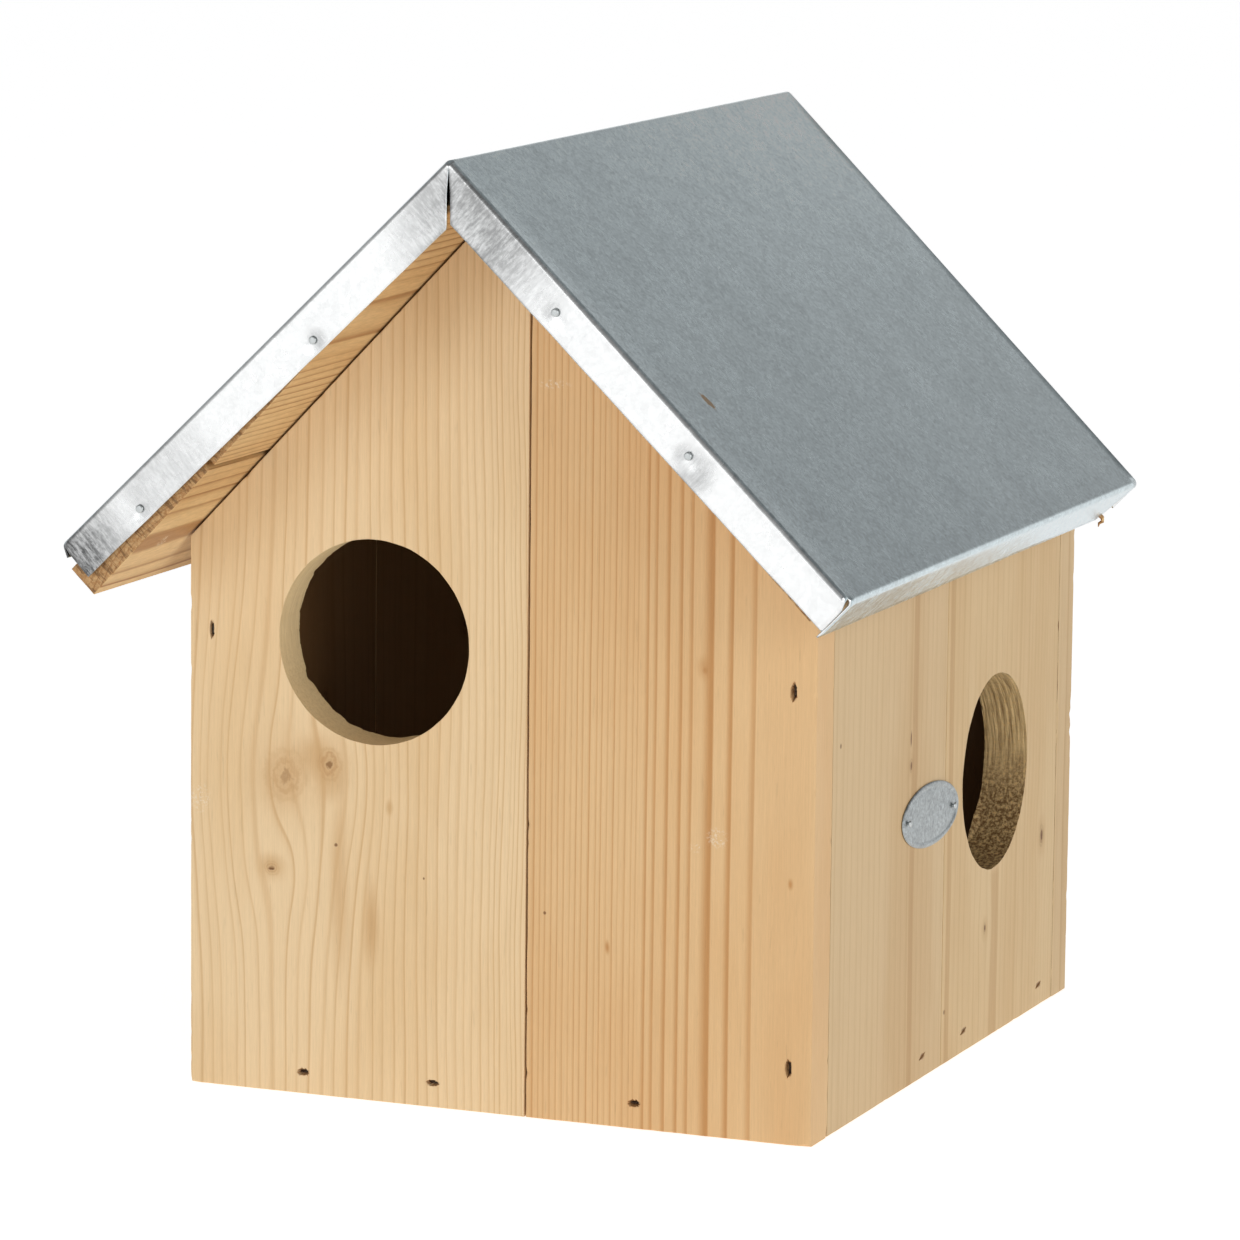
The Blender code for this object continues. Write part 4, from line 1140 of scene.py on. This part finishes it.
def closed(name, build, rings, material, node, body):
    """A round solid from its rings, with both ends filled."""
    join_rings(build, rings)
    build.faces.new(rings[0])
    build.faces.new(rings[-1])
    finish(name, to_mesh(name, build), material, node, body, smooth=True)


def turned(name, profile, origin, direction, material, node):
    """A solid of revolution from (distance, radius) pairs in millimetres."""
    direction = Vector(direction).normalized()
    side = direction.orthogonal().normalized()
    other = direction.cross(side)
    build = bmesh.new()
    rings = [ring(build, origin + direction * distance, side, other, radius, NAIL_SEGMENTS)
             for distance, radius in profile]
    closed(name, build, rings, material, node, "box")


def tube(name, path, radii, material, node, body="box", segments=12):
    """A round wire along a path of points in millimetres, with a radius at each point."""
    build = bmesh.new()
    rings = []
    side = (path[1] - path[0]).normalized().orthogonal().normalized()
    for index, (point, radius) in enumerate(zip(path, radii)):
        tangent = (path[min(index + 1, len(path) - 1)] - path[max(index - 1, 0)]).normalized()
        side = (side - tangent * side.dot(tangent)).normalized()
        rings.append(ring(build, point, side, tangent.cross(side), radius, segments))
    closed(name, build, rings, material, node, body)


def staples():
    """Every staple, as a round wire sunk a little below the wood."""
    steel = worn_steel("staple_steel", srgb(96, 84, 70), srgb(52, 32, 16), 0.5, 0.8)
    half = HALF_CROWN - WIRE
    for name in sorted(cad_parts):
        kind = next((kind for kind in STAPLES if name.startswith(kind)), None)
        if not kind:
            continue
        across, inward = [Vector(way) for way in STAPLES[kind]]
        low, high = corners(name)
        in_roof = kind.startswith("staple_roof")
        leg = ROOF_STAPLE if in_roof else max(high - low)
        sunk = 0.1 if in_roof else 1.5
        crown = (low + high) / 2 - inward * (leg / 2 - WIRE - sunk)
        leg = leg - sunk - 1.0
        # Half the wire, from a leg's tip round to the crown
        bend = [(half, leg), (half, leg * 0.5), (half, 1.2), (half, 0.5), (half - 0.25, 0.12),
                (half - 0.9, 0.0)]
        path = [crown - across * out + inward * down for out, down in bend]
        path += [crown + across * out + inward * down for out, down in reversed(bend)]
        radii = [0.25] + [WIRE] * (len(path) - 2) + [0.25]
        body = "door" if kind == "staple_door" else "box"
        tube("wire_" + name, path, radii, steel, name, body)


def nails():
    """Sheet nails in their dimples, tag nails and the door's pivot nails."""
    bright = worn_steel("nail_zinc", srgb(196, 200, 200), srgb(120, 86, 52), 0.42, 0.2)
    dark = worn_steel("nail_dark", srgb(96, 88, 78), srgb(62, 42, 24), 0.5, 0.5)
    for name in sorted(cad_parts):
        low, high = corners(name)
        seat = (low + high) / 2
        material = bright
        way = (0, 1, 0) if "front" in name else (0, -1, 0)
        outer = low.y if "front" in name else high.y
        if name.startswith("nail_"):
            profile = SHEET_NAIL
            seat.y = outer + way[1] * SHEET_NAIL_SINK
        elif name.startswith("tag_nail"):
            profile = TAG_NAIL
            seat.x = high.x
            way = (-1, 0, 0)
        elif name.startswith("pivot_nail"):
            profile = PIVOT_NAIL
            seat.y = outer + way[1] * PIVOT_NAIL_SINK
            material = dark
        else:
            continue
        turned("head_" + name, profile, seat, way, material, name)


TAG_HALF_WIDTH = 33.0
TAG_HALF_HEIGHT = 12.8
TAG_TILT = math.radians(-2.1)
TAG_THICKNESS = 0.6
TAG_SEGMENTS = 72
# (share of the outline, height) of the tag's rings: its face, its pressed rim and its back
TAG_RINGS = ((0.0, 0.15), (0.5, 0.20), (0.76, 0.22), (0.80, 0.10), (0.83, 0.20), (0.87, 0.55), (0.92, 0.60),
             (0.96, 0.50), (0.985, 0.30), (1.0, 0.12), (1.0, 0.0), (0.96, 0.0), (0.0, 0.0))


def tag():
    """A blank oval tag with a pressed rim."""
    low, high = corners("tag_plate")
    centre = (low + high) / 2
    build = bmesh.new()
    rings = []
    for share, lift in TAG_RINGS:
        if share == 0.0:
            rings.append([build.verts.new(Vector((low.x + lift, centre.y, centre.z)) * MM)] * TAG_SEGMENTS)
            continue
        inset = (1.0 - share) * TAG_HALF_HEIGHT
        points = []
        for s in range(TAG_SEGMENTS):
            angle = 2 * math.pi * s / TAG_SEGMENTS
            a = max(0.0, TAG_HALF_WIDTH - inset) * math.cos(angle)
            b = (TAG_HALF_HEIGHT - inset) * math.sin(angle)
            warp = 0.10 * wobble(a, b, 4.0, 12.0) * (lift > 0)
            x = low.x + max(0.0, min(TAG_THICKNESS, lift + warp))
            y = centre.y + a * math.cos(TAG_TILT) - b * math.sin(TAG_TILT)
            z = centre.z + a * math.sin(TAG_TILT) + b * math.cos(TAG_TILT)
            points.append(build.verts.new(Vector((x, y, z)) * MM))
        rings.append(points)
    for near, far in zip(rings, rings[1:]):
        for s in range(TAG_SEGMENTS):
            after = (s + 1) % TAG_SEGMENTS
            # dict.fromkeys drops the repeated vertex where a ring is one point
            build.faces.new(list(dict.fromkeys((near[s], near[after], far[after], far[s]))))
    mesh = to_mesh("pressed_tag_plate", build)
    material = galvanised("tag_alloy", (0.34, 0.365, 0.37, 1.0), 0.30, 0.36)
    finish("pressed_tag_plate", mesh, material, "tag_plate", "box", smooth=True)


HOOK_RADIUS = 1.5
HOOK_BEND = 3.5
HOOK_THREAD = 14.0
THREAD_STEPS = 44


def hook():
    """The turn hook: a threaded shank in the back wall's edge, and a bent arm."""
    low, high = corners("turn_hook")
    y = (low.y + high.y) / 2
    z = high.z - HOOK_RADIUS
    arm_x = low.x + HOOK_RADIUS
    steel = worn_steel("hook_plating", srgb(196, 196, 190), srgb(150, 130, 96), 0.28, 0.1)
    path = []
    radii = []
    for index in range(THREAD_STEPS + 1):
        share = index / THREAD_STEPS
        path.append((high.x - HOOK_THREAD * share, z))
        radii.append((0.25 + 1.05 * min(1.0, share * 3.0)) * (1.0 + 0.10 * math.cos(math.pi * index)))
    path.append((arm_x + HOOK_BEND + 0.3, z))
    for step in range(9):
        angle = math.pi / 2 * step / 8
        path.append((arm_x + HOOK_BEND * (1 - math.sin(angle)), z - HOOK_BEND * (1 - math.cos(angle))))
    path += [(arm_x, z - drop) for drop in (8.0, 14.0, 19.5, 20.8, 21.4)]
    radii += [HOOK_RADIUS * share for share in [0.97] * 12 + [0.95, 0.8, 0.4]]
    tube("bent_turn_hook", [Vector((x, y, height)) for x, height in path], radii, steel, "turn_hook",
         "hook", segments=20)


# Studio

FLOOR_GLOW = 0.76
SKY_STRENGTH = 1.03
SKY = ((0.0, 1.0), (0.06, 0.98), (0.20, 0.62), (0.34, 0.36), (0.60, 0.24), (1.0, 0.16))
SKY_TINT = (1.0, 1.005, 1.01)
# Place, target, diameter and power of each lamp, in metres and watts
LAMPS = {"key": ((-0.9, -2.7, 1.2), (0.0, -0.1, 0.15), 1.5, 12.0),
         "fill": ((2.6, -1.7, 1.1), (0.1, 0.0, 0.15), 1.6, 21.0)}


def studio():
    """A white floor, soft lights low in front, and a sky that darkens overhead."""
    bpy.ops.mesh.primitive_plane_add(size=30.0, location=(0.0, 0.0, -0.0004))
    ground = bpy.context.active_object
    ground.name = "studio_floor"
    graph = Graph("studio_white")
    graph.set("Base Color", (0.8, 0.8, 0.8, 1.0))
    graph.set("Roughness", 0.9)
    graph.set("Emission Color", (1.0, 1.0, 1.0, 1.0))
    graph.set("Emission Strength", FLOOR_GLOW)
    ground.data.materials.append(graph.material)
    for name, (spot, target, size, power) in LAMPS.items():
        light = bpy.data.lights.new(name, "AREA")
        light.shape = "DISK"
        light.size = size
        light.energy = power
        lamp = bpy.data.objects.new(name, light)
        bpy.context.scene.collection.objects.link(lamp)
        lamp.location = spot
        lamp.rotation_euler = (Vector(target) - Vector(spot)).to_track_quat("-Z", "Y").to_euler()
        lamp.visible_camera = False
    world = bpy.data.worlds.new("studio")
    bpy.context.scene.world = world
    world.use_nodes = True
    nodes = world.node_tree.nodes
    links = world.node_tree.links
    coords = nodes.new("ShaderNodeTexCoord")
    split = nodes.new("ShaderNodeSeparateXYZ")
    ramp = nodes.new("ShaderNodeValToRGB")
    set_ramp(ramp, SKY, SKY_TINT)
    links.new(coords.outputs["Generated"], split.inputs[0])
    links.new(split.outputs["Z"], ramp.inputs[0])
    links.new(ramp.outputs[0], nodes["Background"].inputs["Color"])
    nodes["Background"].inputs["Strength"].default_value = SKY_STRENGTH
    bpy.context.scene.view_settings.view_transform = "Standard"


# Solved from points on the photo: angles in degrees, then millimetres, then the photo's pixels
AZIMUTH, ELEVATION, ROLL = (math.radians(value) for value in (22.09, 9.324, 0.595))
DISTANCE = 2638.5
TARGET = Vector((0.0, 0.0, 173.3))
SHIFT_RIGHT = -11.12
SHIFT_UP = -2.757
FOCAL_PIXELS = 6546.6
FRAME_PIXELS = 1240.0
SENSOR = 36.0


def camera():
    """A long lens, in front and to the right, slightly above."""
    forward = Vector((-math.sin(AZIMUTH) * math.cos(ELEVATION), math.cos(AZIMUTH) * math.cos(ELEVATION),
                      -math.sin(ELEVATION)))
    level = Vector((math.cos(AZIMUTH), math.sin(AZIMUTH), 0.0))
    upright = level.cross(forward)
    right = level * math.cos(ROLL) + upright * math.sin(ROLL)
    up = upright * math.cos(ROLL) - level * math.sin(ROLL)
    place = TARGET - forward * DISTANCE + right * SHIFT_RIGHT + up * SHIFT_UP
    data = bpy.data.cameras.new("camera")
    data.sensor_width = SENSOR
    data.lens = FOCAL_PIXELS / FRAME_PIXELS * SENSOR
    data.clip_end = 50.0
    obj = bpy.data.objects.new("camera", data)
    bpy.context.scene.collection.objects.link(obj)
    turn = Matrix((right, up, -forward)).transposed().to_4x4()
    obj.matrix_world = Matrix.Translation(place * MM) @ turn
    bpy.context.scene.camera = obj


camera()
studio()
front_wall()
back_wall()
right_wall()
floor_boards()
door()
roof_boards()
sheet()
staples()
nails()
tag()
hook()
